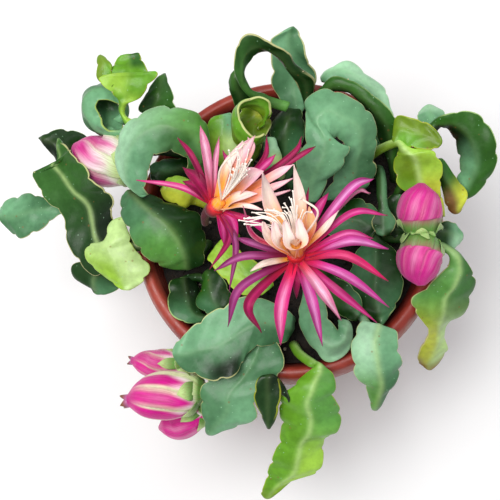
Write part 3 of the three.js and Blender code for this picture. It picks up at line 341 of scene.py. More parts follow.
        (74, 98, 8, 86, 99, 8, 1), (63, 109, 7, 82, 115, 6, 3), (53, 116, 7, 69, 127, 6, 4),
        (44, 120, 6, 54, 139, 5, 4), (35, 121, 4, 41, 136, 3, 3), (30, 122, 1, 29, 127, 1, 0),
    )),)),
    "top_arch": (Slot.DARK, (Blade("DARK LEAF DARK LEAF", (89, 44), ((86, 54, 5),), (
        (75, 72, 14, 95, 80, 22, 2), (73, 86, 22, 87, 94, 32, 3), (68, 96, 25, 76, 106, 36, 3),
        (61, 105, 27, 67, 115, 38, 3), (53, 114, 27, 56, 123, 38, 3), (42, 115, 25, 40, 127, 35, 3),
        (33, 111, 20, 30, 119, 28, 2), (28, 107, 15, 27, 113, 16, 0),
    )),)),
    "right_loop": (Slot.DARK, (
        Blade("LEAF DEEP LEAF BLUE", (90, 25), ((99, 42, 4), (107, 59, 10)), (
            (118, 83, 16, 125, 78, 15, 0), (130, 91, 26, 131, 79, 13, 2), (145, 94, 30, 135, 72, 10, 3),
            (160, 87, 29, 139, 63, 6, 4), (170, 69, 22, 140, 53, 2, 4), (171, 52, 12, 140, 44, -3, 4),
            (164, 36, 2, 138, 36, -8, 4), (154, 24, -8, 137, 28, -12, 3), (146, 18, -14, 141, 21, -15, 0),
        )),
        Blade("BLUE BLUE MIST MIST", None, ((109, 64, 11),), (
            (108, 83, 8, 127, 82, 8, 1), (108, 92, 5, 130, 91, 5, 3), (114, 98, 2, 123, 96, 2, 0),
        )),
    )),
    "right_lobed": (Slot.LIME, (
        Blade("LIME OLIVE GOLD FRESH", (53, 47), ((64, 52, 3), (75, 61, 17), (90, 67, 27)), (
            (101, 62, 31, 92, 62, 29, 1), (119, 60, 33, 88, 54, 25, 3), (126, 50, 29, 87, 44, 22, -2),
            (126, 36, 22, 90, 32, 16, -3), (124, 26, 14, 101, 23, 11, -2), (126, 15, 7, 120, 15, 4, 0),
            (127, 4, 2, 124, 4, 1, 0),
        ), rib=0.5),
        Blade("OLIVE FRESH OLIVE OLIVE", None, ((90, 67, 27),), (
            (91, 90, 34, 97, 64, 30, 0), (104, 88, 38, 104, 62, 33, -2), (116, 84, 39, 117, 60, 34, -3),
            (124, 76, 37, 124, 62, 34, -1), (126, 70, 35, 126, 65, 34, 0),
        )),
        Blade("LEAF DARK GOLD BROWN BROWN", None, ((107, 47, 21), (116, 43, 15)), (
            (126, 53, 14, 118, 42, 10, 1), (135, 39, 8, 125, 28, 2, 2), (145, 24, -2, 127, 14, -5, 2),
            (141, 12, -7, 131, 8, -9, 1), (138, 8, -10, 135, 7, -11, 0),
        )),
    )),
    "right_round": (Slot.BLUISH, (
        Blade("DARK SEA SEA DARK", (72, 46), ((75, 45, -3), (77, 35, 9), (77, 23, 13), (78, 12, 12)), (
            (68, 1, 11, 88, 1, 11, 0), (71, -8, 9, 84, -8, 9, 0), (75, -11, 8, 80, -11, 8, 0),
        )),
    )),
    "right_pale_leaf": (Slot.BLUISH, (
        Blade("DARK DARK BLUE MIST", (79, -9), ((90, -13, -4), (109, -13, 5)), (
            (118, -4, 10, 119, -16, 10, 1), (126, 0, 9, 126, -21, 8, 2), (134, -2, 5, 133, -23, 4, 2),
            (139, -10, 0, 138, -16, 0, 0),
        )),
        Blade("LEAF GREEN PALE GOLD BROWN", None, ((109, -13, 5), (120, -19, 9)), (
            (136, -26, 8, 128, -28, 9, 1), (144, -38, 2, 126, -38, 8, 2), (149, -49, -6, 111, -51, 7, 3),
            (145, -59, -13, 98, -61, 6, 4), (137, -74, -21, 100, -72, 3, 4),
            (125, -84, -31, 107, -83, -10, 2), (122, -94, -42, 109, -92, -28, 2),
            (124, -103, -54, 103, -103, -42, 1), (118, -113, -64, 100, -110, -56, 1),
            (111, -118, -67, 106, -116, -66, 0),
        ), rib=0.4),
        Blade("DEEP DARK DARK SEA", None, ((90, -13, -4),), (
            (79, -5, -8, 95, -8, -8, 1), (78, 9, -9, 102, 3, -7, 3), (80, 17, -9, 102, 13, -6, 3),
            (85, 24, -7, 96, 22, -6, 0),
        )),
    )),
    "right_broad_dark": (Slot.DARK, (Blade("DARK SEA SEA DARK", (71, 3), ((71, -13, -10),), (
        (87, -24, -4, 55, -24, -7, 2), (93, -41, -4, 48, -45, -9, 4), (89, -61, -2, 51, -66, -9, 4),
        (81, -75, -1, 66, -77, -5, 2), (75, -83, 1, 72, -83, 0, 0),
    )),)),
    "centre_right_dark": (Slot.DARK, (Blade("DARK SEA SEA DARK", (28, 6), (), (
        (47, 18, -12, 31, -8, -9, 2), (61, 20, -5, 47, -15, -7, 3), (72, 12, -3, 63, -17, -5, 2),
        (76, 1, -3, 71, -8, -3, 0),
    )),)),
    "lower_right_pointed": (Slot.BLUISH, (
        Blade("BLUE MIST SEA GREEN", (58, -72), ((63, -84, 0), (68, -90, 9)), (
            (85, -88, 11, 58, -80, 11, 0), (86, -98, 10, 50, -95, 11, 3), (88, -108, 6, 50, -109, 8, 4),
            (89, -115, 0, 51, -120, 2, 4), (84, -126, -8, 59, -130, -8, 4),
            (77, -135, -16, 62, -138, -17, 3), (70, -148, -28, 64, -148, -28, 0),
        ), rib=0.35),
    )),
    "lower_large": (Slot.LIME, (
        Blade("GREEN FRESH LIME FRESH OLIVE", (4, -96), ((9, -105, -3), (18, -112, 6), (25, -115, 9)), (
            (35, -121, 8, 13, -121, 8, 2), (37, -130, 8, 1, -132, 8, 5), (36, -139, 3, -7, -139, 3, 5),
            (41, -152, -9, -7, -150, -8, 5), (38, -164, -17, -6, -161, -16, 5),
            (28, -170, -24, -8, -172, -24, 3), (27, -181, -33, -13, -184, -33, 3),
            (23, -194, -44, -16, -194, -43, 3), (5, -202, -53, -19, -203, -51, 1),
            (-6, -208, -58, -22, -211, -57, 1), (-13, -214, -62, -20, -214, -62, 0),
        ), rib=0.45),
        Blade("DEEP DARK DARK DARK", None, (), (
            (0, -143, 5, 0, -136, 6, 0), (-7, -125, 15, -21, -123, 14, 1),
            (-6, -135, 13, -27, -133, 12, -3), (-7, -145, 8, -26, -143, 7, -3),
            (-10, -155, 1, -22, -153, -1, -2), (-14, -163, -6, -17, -162, -7, 0),
        )),
    )),
    "lower_left_large": (Slot.BLUISH, (
        Blade("SEA BLUE SEA BLUE", (2, -75), ((2, -84, -8),), (
            (-3, -96, 2, 3, -73, 4, 0), (-21, -99, 9, -9, -65, 10, 3), (-32, -104, 11, -24, -59, 13, 5),
            (-36, -113, 13, -37, -59, 17, 0), (-43, -122, 14, -53, -66, 19, -4),
            (-55, -126, 13, -64, -72, 19, -5), (-67, -124, 11, -73, -79, 18, -4),
            (-78, -120, 9, -81, -87, 16, 0), (-85, -114, 8, -89, -94, 14, 2),
            (-89, -106, 9, -91, -100, 11, 0),
        ), hollow_shade=(0.55, -0.78, 1)),
        Blade("SEA SEA BLUE SEA", None, ((-19, -87, 9),), (
            (-6, -100, 5, -41, -103, 4, 1), (-3, -113, 5, -52, -111, 4, 1),
            (-10, -127, 4, -63, -123, 2, -1), (-24, -142, 0, -69, -131, 1, 1),
            (-25, -154, -7, -70, -141, -3, 3), (-40, -162, -14, -68, -150, -9, 3),
            (-53, -165, -18, -65, -159, -16, 2), (-58, -167, -22, -65, -165, -21, 0),
        )),
    )),
    "lower_curly": (Slot.BLUISH, (Blade("BLUE BLUE BLUE MIST", (14, -43), ((16, -54, -6),), (
        (28, -61, 2, 11, -63, 2, 1), (31, -70, 6, 8, -77, 3, 4), (33, -77, 8, 13, -91, 2, 5),
        (36, -82, 9, 20, -102, 2, 5), (38, -85, 10, 30, -111, 1, 5), (40, -85, 11, 41, -108, 2, 5),
        (40, -83, 12, 50, -98, 5, 4), (40, -81, 13, 50, -87, 9, 3), (39, -79, 11, 44, -78, 10, 0),
    ), hollow_shade=(0.75, 0.3, 0.6)),)),
    "centre_yellow": (Slot.LIME, (Blade("LIME LIME FRESH LIME", (-44, -5), ((-50, -13, -6),), (
        (-53, -12, 2, -64, -25, -2, -2), (-40, -19, 7, -61, -33, 2, -4), (-27, -29, 9, -50, -46, 3, -4),
        (-16, -39, 8, -35, -58, 2, -3), (-10, -49, 5, -21, -58, 2, 0),
    )),)),
    "lower_left_curled": (Slot.DARK, (
        Blade("DEEP DARK DARK SEA", (-68, -44), ((-72, -42, -15),), (
            (-76, -41, -15, -93, -44, -6, 2), (-71, -53, -16, -97, -55, -3, 4),
            (-70, -64, -14, -94, -70, 3, 4), (-69, -71, -8, -83, -79, 3, 3),
            (-63, -75, -6, -70, -80, -4, 0),
        )),
        Blade("DARK LEAF DARK SEA", None, ((-67, -44, -17),), (
            (-58, -36, -4, -67, -44, -8, 1), (-47, -51, -1, -74, -62, -8, 3),
            (-45, -63, -3, -66, -71, -8, 2), (-53, -68, -6, -59, -71, -8, 0),
        )),
    )),
    "lower_right_dark": (Slot.DARK, (Blade("DARK LEAF SEA DARK", (27, -32), ((32, -43, -6),), (
        (39, -44, 4, 27, -54, 0, 1), (50, -50, 6, 35, -67, 1, 3), (58, -61, 5, 44, -77, 1, 2),
        (59, -72, 3, 54, -80, 2, 0),
    )),)),
}

BLOOMS: dict[str, BloomPlan] = {
    "front": BloomPlan(
        tube=((15, -49, 5), (10, -39, 32), (8, -31, 60)),
        throat=(7, -24, 84),
        heart=(7, -7, 104),
        outer=(
            (51, 28, 88, 71, 37, 78, 7.4), (53, 24, 80, 68, 25, 74, 3.7), (52, 8, 92, 81, 6, 82, 5.2),
            (47, -9, 96, 69, -13, 88, 5.9), (51, -15, 98, 81, -22, 86, 8.1),
            (47, -27, 98, 80, -48, 82, 7.4), (46, -43, 98, 80, -69, 80, 7.4),
            (39, -55, 96, 70, -81, 80, 6.7), (27, -55, 102, 42, -79, 88, 8.1),
            (19, -62, 98, 27, -99, 78, 8.1), (-5, -66, 102, -6, -98, 84, 9.6),
            (7, -46, 90, 7, -61, 80, 5.9), (-31, -64, 94, -21, -88, 80, 7.4),
            (-38, -52, 98, -48, -83, 82, 6.7), (-35, -26, 92, -59, -37, 80, 6.7),
            (-29, -15, 86, -41, -10, 78, 5.9), (24, 10, 78, 34, 26, 70, 7.4), (14, 10, 72, 18, 31, 66, 4.4),
            (-22, -1, 72, -38, 10, 69, 5.9), (-18, -32, 94, -30, -38, 92, 5.2),
        ),
        outer_hues=(
            "lilac pale magenta magenta lilac red lilac magenta pale lilac rose crimson crimson mauve "
            "mauve mauve magenta crimson magenta cream"
        ),
        inner=(
            (-27, -9, 98, -36, 17, 106, 3.7), (-13, 16, 104, -20, 45, 128, 11.8),
            (11, 16, 100, 6, 51, 122, 8.9), (-14, -12, 104, -20, 3, 115, 8.9, 0.5),
            (-7, -15, 110, -11, 3, 118, 9.6, 0.6), (2, -16, 112, -2, 4, 120, 9.6, 0.6),
            (12, -13, 110, 9, 5, 118, 9.6, 0.6), (19, -2, 98, 18, 15, 104, 8.9, 0.3),
            (29, -5, 94, 42, 11, 98, 5.2),
        ),
        inner_hues="crimson cream cream cream cream cream cream orange cream",
        anthers=(
            (-2, 18, 118), (2, 23, 119), (8, 16, 116), (13, 12, 118), (20, 10, 118), (-32, 6, 108),
            (-29, 0, 106), (-25, 10, 110),
        ),
        style=((25, 8, 118), (13, 21, 124)),
    ),
    "rear": BloomPlan(
        tube=((-67, 3, 19), (-67, 9, 34), (-63, 15, 50)),
        throat=(-57, 18, 66),
        heart=(-43, 34, 94),
        outer=(
            (-88, 34, 72, -125, 41, 64, 5.2), (-78, 59, 78, -91, 77, 72, 5.2),
            (-67, 64, 86, -72, 87, 82, 7.4), (-59, 56, 83, -56, 77, 84, 4.4),
            (-74, 40, 74, -86, 51, 70, 9.6), (-75, 34, 72, -86, 39, 66, 8.9),
            (-48, 48, 71, -53, 65, 69, 5.9), (-20, 54, 78, -16, 77, 76, 4.4),
            (-20, 49, 80, -9, 60, 76, 5.9), (3, 58, 76, 13, 75, 74, 4.4), (9, 57, 76, 24, 66, 76, 4.4),
            (-47, -10, 58, -63, -36, 48, 5.2), (-42, -15, 56, -47, -55, 42, 5.2),
            (-53, 0, 60, -51, -17, 52, 6.7), (-45, 5, 62, -40, -12, 54, 6.7), (-37, 7, 62, -20, 4, 56, 5.2),
        ),
        outer_hues=(
            "rose crimson pale pale crimson crimson magenta crimson magenta crimson crimson crimson "
            "mauve magenta magenta red"
        ),
        inner=(
            (-40, 58, 88, -26, 77, 98, 10.4, 0.1), (-33, 40, 96, -19, 46, 104, 13.3, 0.3),
            (-50, 50, 86, -36, 73, 94, 7.4, 0.1), (-10, 42, 98, 6, 51, 106, 6.7),
            (-13, 31, 96, 5, 39, 104, 5.9), (-19, 23, 92, 3, 29, 98, 4.4),
            (-36, 17, 88, -20, 13, 94, 5.2), (-42, 24, 84, -24, 27, 94, 8.9, 0.2),
            (-30, 63, 90, -32, 76, 94, 5.2),
        ),
        inner_hues="blush blush cream blush blush blush cream cream blush",
        anthers=(
            (-36, 69, 112), (-38, 41, 108), (-49, 54, 110), (-44, 49, 116), (-33, 47, 118), (-29, 56, 120),
        ),
        style=((-55, 48, 108), (-36, 69, 114)),
    ),
}

BUDS: dict[str, BudPlan] = {
    "bud_left": BudPlan(
        line=((-122, 60, 4), (-132, 58, 4), (-156, 59, 2), (-179, 72, 0)),
        radius=21, pale=0.62, band=0.5, green=0.06,
    ),
    "bud_right_upper": BudPlan(
        line=((105, -9, 18), (107, -3, 26), (107, 12, 32), (109, 32, 34)),
        radius=17, pale=0.2, band=0.15, green=0.44,
    ),
    "bud_right_lower": BudPlan(
        line=((109, -16, 13), (107, -20, 24), (105, -33, 26), (106, -52, 24)),
        radius=17, pale=0.2, band=0.15, green=0.44,
    ),
    "bud_lower_small": BudPlan(
        line=((-80, -112, -6), (-85, -112, -18), (-105, -112, -35), (-125, -109, -42)),
        radius=12, tips=3, pale=0.3, band=0.6, green=0.14,
    ),
    "bud_lower_large": BudPlan(
        line=((-66, -133, -11), (-75, -133, -11), (-101, -137, -11), (-128, -141, -16)),
        radius=19, tips=4, pale=0.36, band=1.15, green=0.14,
    ),
    "bud_lower_hidden": BudPlan(
        line=((-65, -145, -20), (-69, -147, -28), (-84, -158, -46), (-101, -162, -54)),
        radius=13.5, pale=0.08, band=0, green=0.05,
    ),
}


# ---- geometry helpers
def place(row: Sequence[float]) -> Array:
    """Move plan points at their heights above the rim to their places in the part's frame.

    Args:
        row: x, y and height, or an array of such rows.

    Returns:
        The places in millimetres, in an array of the same shape.
    """
    plan = np.asarray(row, float)
    share = plan[..., 2:3] / EYE[2]
    flat = plan[..., :2] + (EYE[:2] - plan[..., :2]) * share
    return np.concatenate((flat, RIM_HEIGHT + plan[..., 2:3]), axis=-1)


def unit(vectors: Array) -> Array:
    """Scale vectors to unit length."""
    return vectors / np.maximum(np.linalg.norm(vectors, axis=-1, keepdims=True), 1e-9)


def smoothstep(value: Array, low: float, high: float) -> Array:
    """Ease from 0 at low to 1 at high."""
    share = np.clip((value - low) / (high - low), 0.0, 1.0)
    return share * share * (3.0 - 2.0 * share)


def mix(first: Array, second: Array, share: Array) -> Array:
    """Blend two colours by shares of the second, one for each vertex."""
    amount = np.asarray(share, float)[..., None]
    return first * (1.0 - amount) + second * amount


def stacked(*values: Any) -> Array:
    """Join values as the rows of one array, each value stretched to the shape of all."""
    return np.stack(np.broadcast_arrays(*values), axis=-1)


def spokes(ahead: Array, count: int, first: float = 0.0) -> list[Array]:
    """Directions square to a line and spread evenly round it.

    Args:
        ahead: the way of the line.
        count: their number.
        first: where the first one stands, in steps between two of them.

    Returns:
        The directions.
    """
    side = unit(np.cross(ahead, SKY))
    up = np.cross(side, ahead)
    turns = 2 * np.pi * (np.arange(count) + first) / max(count, 1)
    return [side * np.cos(turn) + up * np.sin(turn) for turn in turns]


class Spline:
    """A smooth line through points, with one unit of its parameter for each span."""

    def __init__(self, points: Sequence[Any]) -> None:
        """Keep the points, with one more beyond each end.

        Args:
            points: places in space, or plain numbers.
        """
        rows = np.asarray(points, float)
        if rows.ndim == 1:
            rows = rows[:, None]
        self.spans = len(rows) - 1
        self.rows = np.vstack((2 * rows[0] - rows[1], rows, 2 * rows[-1] - rows[-2]))

    def at(self, place_on: Array) -> Array:
        """Points of the line.

        Args:
            place_on: parameters from 0 to the number of spans.

        Returns:
            One row for each parameter.
        """
        u = np.clip(np.asarray(place_on, float), 0.0, self.spans)
        k = np.minimum(u.astype(int), self.spans - 1)
        t = (u - k)[..., None]
        before, start, end, after = (self.rows[k + step] for step in range(4))
        leave, arrive = (end - before) / 2.0, (after - start) / 2.0
        return (start * (2 * t**3 - 3 * t**2 + 1) + leave * (t**3 - 2 * t**2 + t)
                + end * (3 * t**2 - 2 * t**3) + arrive * (t**3 - t**2))


class Shells:
    """Gathers the closed skins of one piece and makes them a mesh."""

    def __init__(self) -> None:
        """Start with nothing."""
        self.points: list[Array] = []
        self.tones: list[Array] = []
        self.places: list[Array] = []
        self.faces: list[tuple[int, ...]] = []
        self.count = 0

    def add(self, rings: Array, tones: Array, places: Any = 0.0) -> None:
        """Add a skin over closed rings, with strips that close its two ends.

        Args:
            rings: points in millimetres, shaped rings x points of a ring x 3. They go round an
                upper side from left to right, and back along the lower one.
            tones: linear colours that stretch to this shape.
            places: the place of each point on its leaf, petal or bud, likewise.
        """
        long, wide = rings.shape[:2]
        faces = []
        for i in range(long - 1):
            for j in range(wide):
                k = (j + 1) % wide
                a, b = i * wide + j, i * wide + k
                faces.append((a, b, b + wide, a + wide))
        last = (long - 1) * wide
        for j in range(wide // 2 - 1):
            low = wide - 1 - j
            faces.append((low, low - 1, j + 1, j))
            faces.append((last + j, last + j + 1, last + low - 1, last + low))
        flat = rings.reshape(-1, 3)
        inside = flat.mean(axis=0)
        corners = np.array(faces)
        a, b, c, d = (flat[corners[:, k]] - inside for k in range(4))
        volume = (np.einsum("ij,ij->i", a, np.cross(b, c)) + np.einsum("ij,ij->i", a, np.cross(c, d))).sum()
        if volume < 0:
            corners = corners[:, ::-1]
        self.faces.extend(map(tuple, (corners + self.count).tolist()))
        self.points.append(flat)
        self.tones.append(np.broadcast_to(tones, rings.shape).reshape(-1, 3))
        self.places.append(np.broadcast_to(places, rings.shape).reshape(-1, 3))
        self.count += len(flat)

    def add_leaf(self, surface: Array, reach: Array, tones: Array, places: Array) -> None:
        """Add a thin skin over a surface and back along its lower side.

        Args:
            surface: its middle, rings x columns x 3.
            reach: the way from there to its upper side, in the same shape.
            tones: linear colours that stretch to this shape.
            places: the place of each point on its leaf or petal, likewise.
        """
        tones, places = (np.broadcast_to(values, surface.shape) for values in (tones, places))
        pairs = ((surface + reach, surface - reach), (tones, tones), (places, places))
        self.add(*(np.concatenate((upper, lower[:, ::-1]), axis=1) for upper, lower in pairs))

    def mesh(self, name: str) -> Piece:
        """Make the mesh object, with its attributes "tone" and "place_on".

        Args:
            name: the piece's name.

        Returns:
            The object, at the origin.
        """
        data = bpy.data.meshes.new(name)
        data.from_pydata((np.vstack(self.points) * MM).tolist(), [], self.faces)
        data.update()
        data.polygons.foreach_set("use_smooth", [True] * len(data.polygons))
        set_tones(data, np.vstack(self.tones))
        places = np.vstack(self.places)
        data.attributes.new("place_on", "FLOAT_VECTOR", "POINT").data.foreach_set("vector", places.ravel())
        return linked(name, data)


def set_tones(data: Mesh, tones: Array) -> None:
    """Give a mesh a linear colour at each of its points."""
    colours = np.concatenate((tones, np.ones((len(tones), 1))), axis=1)
    data.attributes.new("tone", "FLOAT_COLOR", "POINT").data.foreach_set("color", colours.ravel())


def linked(name: str, data: bpy.types.ID) -> Piece:
    """Make an object of some data and put it in the scene."""
    piece = bpy.data.objects.new(name, data)
    bpy.context.scene.collection.objects.link(piece)
    return piece


def dress(piece: Piece, finish: Material, nodes: Sequence[str] = ()) -> None:
    """Give a piece its finish and its body, and let it stand for its nodes.

    Args:
        piece: the finished object.
        finish: its material.
        nodes: the CAD nodes that it replaces.
    """
    if not piece.data.materials:
        piece.data.materials.append(finish)
    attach(piece, BODY)
    if nodes:
        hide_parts(*nodes)
    LOG.info("%s: %d faces", piece.name, len(piece.data.polygons))


# ---- shader building
class Sheet:
    """Adds nodes to a node tree and wires them up."""

    def __init__(self, tree: Tree) -> None:
        """Keep the tree."""
        self.tree = tree

    def add(self, kind: str, inputs: dict[Any, Any] | None = None, **settings: Any) -> Node:
        """Add a node.

        Args:
            kind: the node's type, where it is a shader node without its prefix "ShaderNode".
            inputs: an input's name or number, and the value or the output that it takes.
            settings: the node's own settings.

        Returns:
            The node.
        """
        whole = kind.startswith(("Node", "Geometry", "Function"))
        node = self.tree.nodes.new(kind if whole else "ShaderNode" + kind)
        for setting, value in settings.items():
            setattr(node, setting, value)
        for key, value in (inputs or {}).items():
            if isinstance(value, Socket):
                self.tree.links.new(value, node.inputs[key])
            else:
                node.inputs[key].default_value = value
        return node

    def out(self, kind: str, inputs: dict[Any, Any] | None = None, **settings: Any) -> Socket:
        """Add a node and give its first output."""
        return self.add(kind, inputs, **settings).outputs[0]

    def group(self, tree: Tree, **inputs: Any) -> Any:
        """Add a shared group and give its outputs."""
        return self.add("Group", inputs, node_tree=tree).outputs

    def attribute(self, name: str, output: str) -> Socket:
        """Read an attribute of the piece."""
        return self.add("Attribute", attribute_name=name).outputs[output]

    def noise(self, scale: Any, detail: float = 2.0, rough: float = 0.5) -> Socket:
        """Noise over the piece's own coordinates."""
        where = self.add("TexCoord").outputs["Object"]
        return self.out("TexNoise", {"Vector": where, "Scale": scale, "Detail": detail, "Roughness": rough})

    def math(self, operation: str, *values: Any) -> Socket:
        """The result of a Math node with its inputs in order."""
        return self.out("Math", dict(enumerate(values)), operation=operation)

    def times(self, first: Any, second: Any) -> Socket:
        """The product of two values."""
        return self.math("MULTIPLY", first, second)

    def ramp(self, value: Any, low: float, high: float, start: float = 0.0, end: float = 1.0) -> Socket:
        """Ease from start to end while a value goes from low to high."""
        inputs = {"Value": value, "From Min": low, "From Max": high, "To Min": start, "To Max": end}
        return self.out("MapRange", inputs, interpolation_type="SMOOTHSTEP")

    def blend(self, share: Any, first: Any, second: Any) -> Socket:
        """Blend two colours, by the share of the second."""
        return self.add("Mix", {0: share, 6: first, 7: second}, data_type="RGBA").outputs[2]

    def surface(self, shader: Node, colour: Socket, rough: Socket, height: Socket,
                strength: float, depth: float, **settings: float) -> None:
        """Wire a shader's colour, roughness and relief.

        Args:
            shader: the material's shader.
            colour: its colour.
            rough: its roughness.
            height: its relief.
            strength: how strong the relief is.
            depth: how deep it is, in metres.
            settings: values of its other inputs, by name with "_" for each space.
        """
        bump = self.out("Bump", {"Height": height, "Strength": strength, "Distance": depth})
        for value, label in ((colour, "Base Color"), (rough, "Roughness"), (bump, "Normal")):
            self.tree.links.new(value, shader.inputs[label])
        for label, value in settings.items():
            shader.inputs[label.replace("_", " ")].default_value = value


def opaque(colour: Row | Tone) -> Row:
    """A display colour or a tone as a linear colour with its alpha."""
    return (*(colour.linear if isinstance(colour, Tone) else to_linear(colour)), 1.0)


FLOAT, COLOUR, WHOLE = (f"NodeSocket{kind}" for kind in ("Float", "Color", "Int"))


def shader_group(name: str, takes: str, gives: str) -> tuple[Sheet, Any, Any]:
    """Start a shader node group. Its sockets are numbers, apart from one called Colour.

    Args:
        name: the group's name.
        takes: the names of its inputs.
        gives: the names of its outputs.

    Returns:
        The sheet to draw on, the inputs to read and the sockets of the group's end.
    """
    sheet = Sheet(bpy.data.node_groups.new(name, "ShaderNodeTree"))
    for way, labels in (("INPUT", takes), ("OUTPUT", gives)):
        for label in labels.split():
            kind = COLOUR if label == "Colour" else FLOAT
            sheet.tree.interface.new_socket(label, in_out=way, socket_type=kind)
    return sheet, sheet.add("NodeGroupInput").outputs, sheet.add("NodeGroupOutput").inputs


@cache
def mottle() -> Tree:
    """Soft clouds that lighten and darken a colour.

    Returns:
        The group.
    """
    sheet, start, end = shader_group("mottle", "Colour Scale Amount", "Colour Cloud")
    cloud = sheet.noise(start["Scale"], 4.0, 0.55)
    value = sheet.math("MULTIPLY_ADD", sheet.ramp(cloud, 0.3, 0.7, -1.0, 1.0), start["Amount"], 1.0)
    toned = sheet.out("HueSaturation", {"Color": start["Colour"], "Value": value})
    sheet.tree.links.new(toned, end["Colour"])
    sheet.tree.links.new(cloud, end["Cloud"])
    return sheet.tree


@cache
def specks() -> Tree:
    """Small round specks strewn at random.

    Returns:
        The group.
    """
    sheet, start, end = shader_group("specks", "Scale Size Share", "Mask")
    where = sheet.add("TexCoord").outputs["Object"]
    cells = sheet.add("TexVoronoi", {"Vector": where, "Scale": start["Scale"]}).outputs
    spot = sheet.math("LESS_THAN", cells["Distance"], start["Size"])
    pick = sheet.out("SeparateColor", {0: cells["Color"]})
    sheet.tree.links.new(sheet.times(spot, sheet.math("LESS_THAN", pick, start["Share"])), end["Mask"])
    return sheet.tree


@cache
def margin() -> Tree:
    """Masks and relief that follow a leaf: its margin, its midrib and its side veins.

    Returns:
        The group.
    """
    sheet, start, end = shader_group("leaf lines", "Margin Rib Pitch", "Margin Rib Height")
    across, along, half = sheet.add("SeparateXYZ", {0: sheet.attribute("place_on", "Vector")}).outputs
    off = sheet.math("ABSOLUTE", across)
    inside = sheet.math("SUBTRACT", 1.0, off)
    edge_width = sheet.times(start["Margin"], sheet.math("ADD", sheet.noise(300.0), 0.5))
    inner = sheet.math("DIVIDE", sheet.times(inside, half), edge_width)
    rim = sheet.times(sheet.ramp(inner, 0.6, 1.5, 1.0, 0.0), sheet.ramp(half, 5.0, 9.0))
    ridge = sheet.ramp(sheet.math("DIVIDE", sheet.times(off, half), start["Rib"]), 0.0, 1.8, 1.0, 0.0)
    slanted = sheet.math("MULTIPLY_ADD", inside, 14.0, along)
    bent = sheet.math("MULTIPLY_ADD", sheet.noise(45.0, 1.0), 9.0, slanted)
    phase = sheet.times(sheet.math("DIVIDE", bent, start["Pitch"]), 4.0 * math.pi)
    vein = sheet.math("POWER", sheet.math("MULTIPLY_ADD", sheet.math("COSINE", phase), 0.5, 0.5), 14.0)
    height = sheet.times(sheet.noise(900.0, 3.0), 0.10)
    for relief, share in ((vein, 0.04), (sheet.noise(110.0), 0.6), (ridge, 0.10)):
        height = sheet.math("MULTIPLY_ADD", relief, share, height)
    for label, value in (("Margin", rim), ("Rib", ridge), ("Height", height)):
        sheet.tree.links.new(value, end[label])
    return sheet.tree


@cache
def grain() -> Tree:
    """Fine relief of two sizes.

    Returns:
        The group.
    """
    sheet, start, end = shader_group("grain", "Coarse Fine Share", "Height")
    sizes = {2: sheet.noise(start["Coarse"], 3.0), 3: sheet.noise(start["Fine"], 3.0)}
    sheet.tree.links.new(sheet.out("Mix", {0: start["Share"], **sizes}), end["Height"])
    return sheet.tree


def new_material(name: str) -> tuple[Material, Sheet, Node]:
    """A material with a Principled shader wired to its output.

    Args:
        name: the material's name.

    Returns:
        The material, its sheet and its shader.
    """
    material = bpy.data.materials.new(name)
    material.use_nodes = True
    material.node_tree.nodes.clear()
    sheet = Sheet(material.node_tree)
    shader = sheet.add("BsdfPrincipled")
    sheet.add("OutputMaterial", {"Surface": shader.outputs[0]})
    return material, sheet, shader


@dataclass(frozen=True)
class StemFinish:
    """Waxy stem flesh: its gloss, its whitish veil that is partly waxy bloom and partly painted sheen, its
    brown specks and its margin.
    """

    name: str
    # Share of the whitish veil, partly waxy bloom and partly painted sheen.
    wax_and_sheen: float = 0.25
    roughness: float = 0.4
    coat: float = 0.08
    specks: float = 0.15
    dust: float = 0.12
    margin: Tone = Tone.STRAW
    rib_share: float = 0.04
    edge_width: float = 0.6
    rib_width: float = 2.4
    vein_pitch: float = 26.0
    edge_share: float = 0.7

    def material(self) -> Material:
        """Build the material.

        Returns:
            The material.
        """
        material, sheet, shader = new_material(self.name)
        tone = sheet.attribute("tone", "Color")
        lines = sheet.group(margin(), Margin=self.edge_width, Rib=self.rib_width, Pitch=self.vein_pitch)
        mottled = sheet.group(mottle(), Colour=tone, Scale=26.0, Amount=0.16)
        fine = sheet.group(mottle(), Colour=mottled[0], Scale=190.0, Amount=0.10)
        # A whitish veil in soft clouds, partly the waxy bloom and partly painted sheen, kept off the
        # darkest tones.
        lit = sheet.ramp(sheet.out("RGBToBW", {"Color": tone}), 0.01, 0.12)
        wax_and_sheen_veil = sheet.times(sheet.ramp(mottled["Cloud"], 0.35, 0.68, 0.0, self.wax_and_sheen), lit)
        spots = sheet.group(specks(), Scale=170.0, Size=0.16, Share=self.specks)
        dust = sheet.group(specks(), Scale=340.0, Size=0.15, Share=self.dust)
        colour = sheet.blend(wax_and_sheen_veil, fine[0], opaque(Tone.MIST))
        for mask, share, over in (
            (lines["Rib"], self.rib_share, Tone.PALE), (lines["Margin"], self.edge_share, self.margin),
            (spots[0], 0.45, Tone.BROWN), (dust[0], 0.6, Tone.MIST),
        ):
            colour = sheet.blend(sheet.times(mask, share), colour, opaque(over))
        rough = sheet.ramp(fine["Cloud"], 0.3, 0.7, self.roughness - 0.07, self.roughness + 0.09)
        sheet.surface(shader, colour, rough, lines["Height"], 0.55, 0.0016,
                      Coat_Weight=self.coat, Coat_Roughness=0.16, Specular_IOR_Level=0.25)
        return material


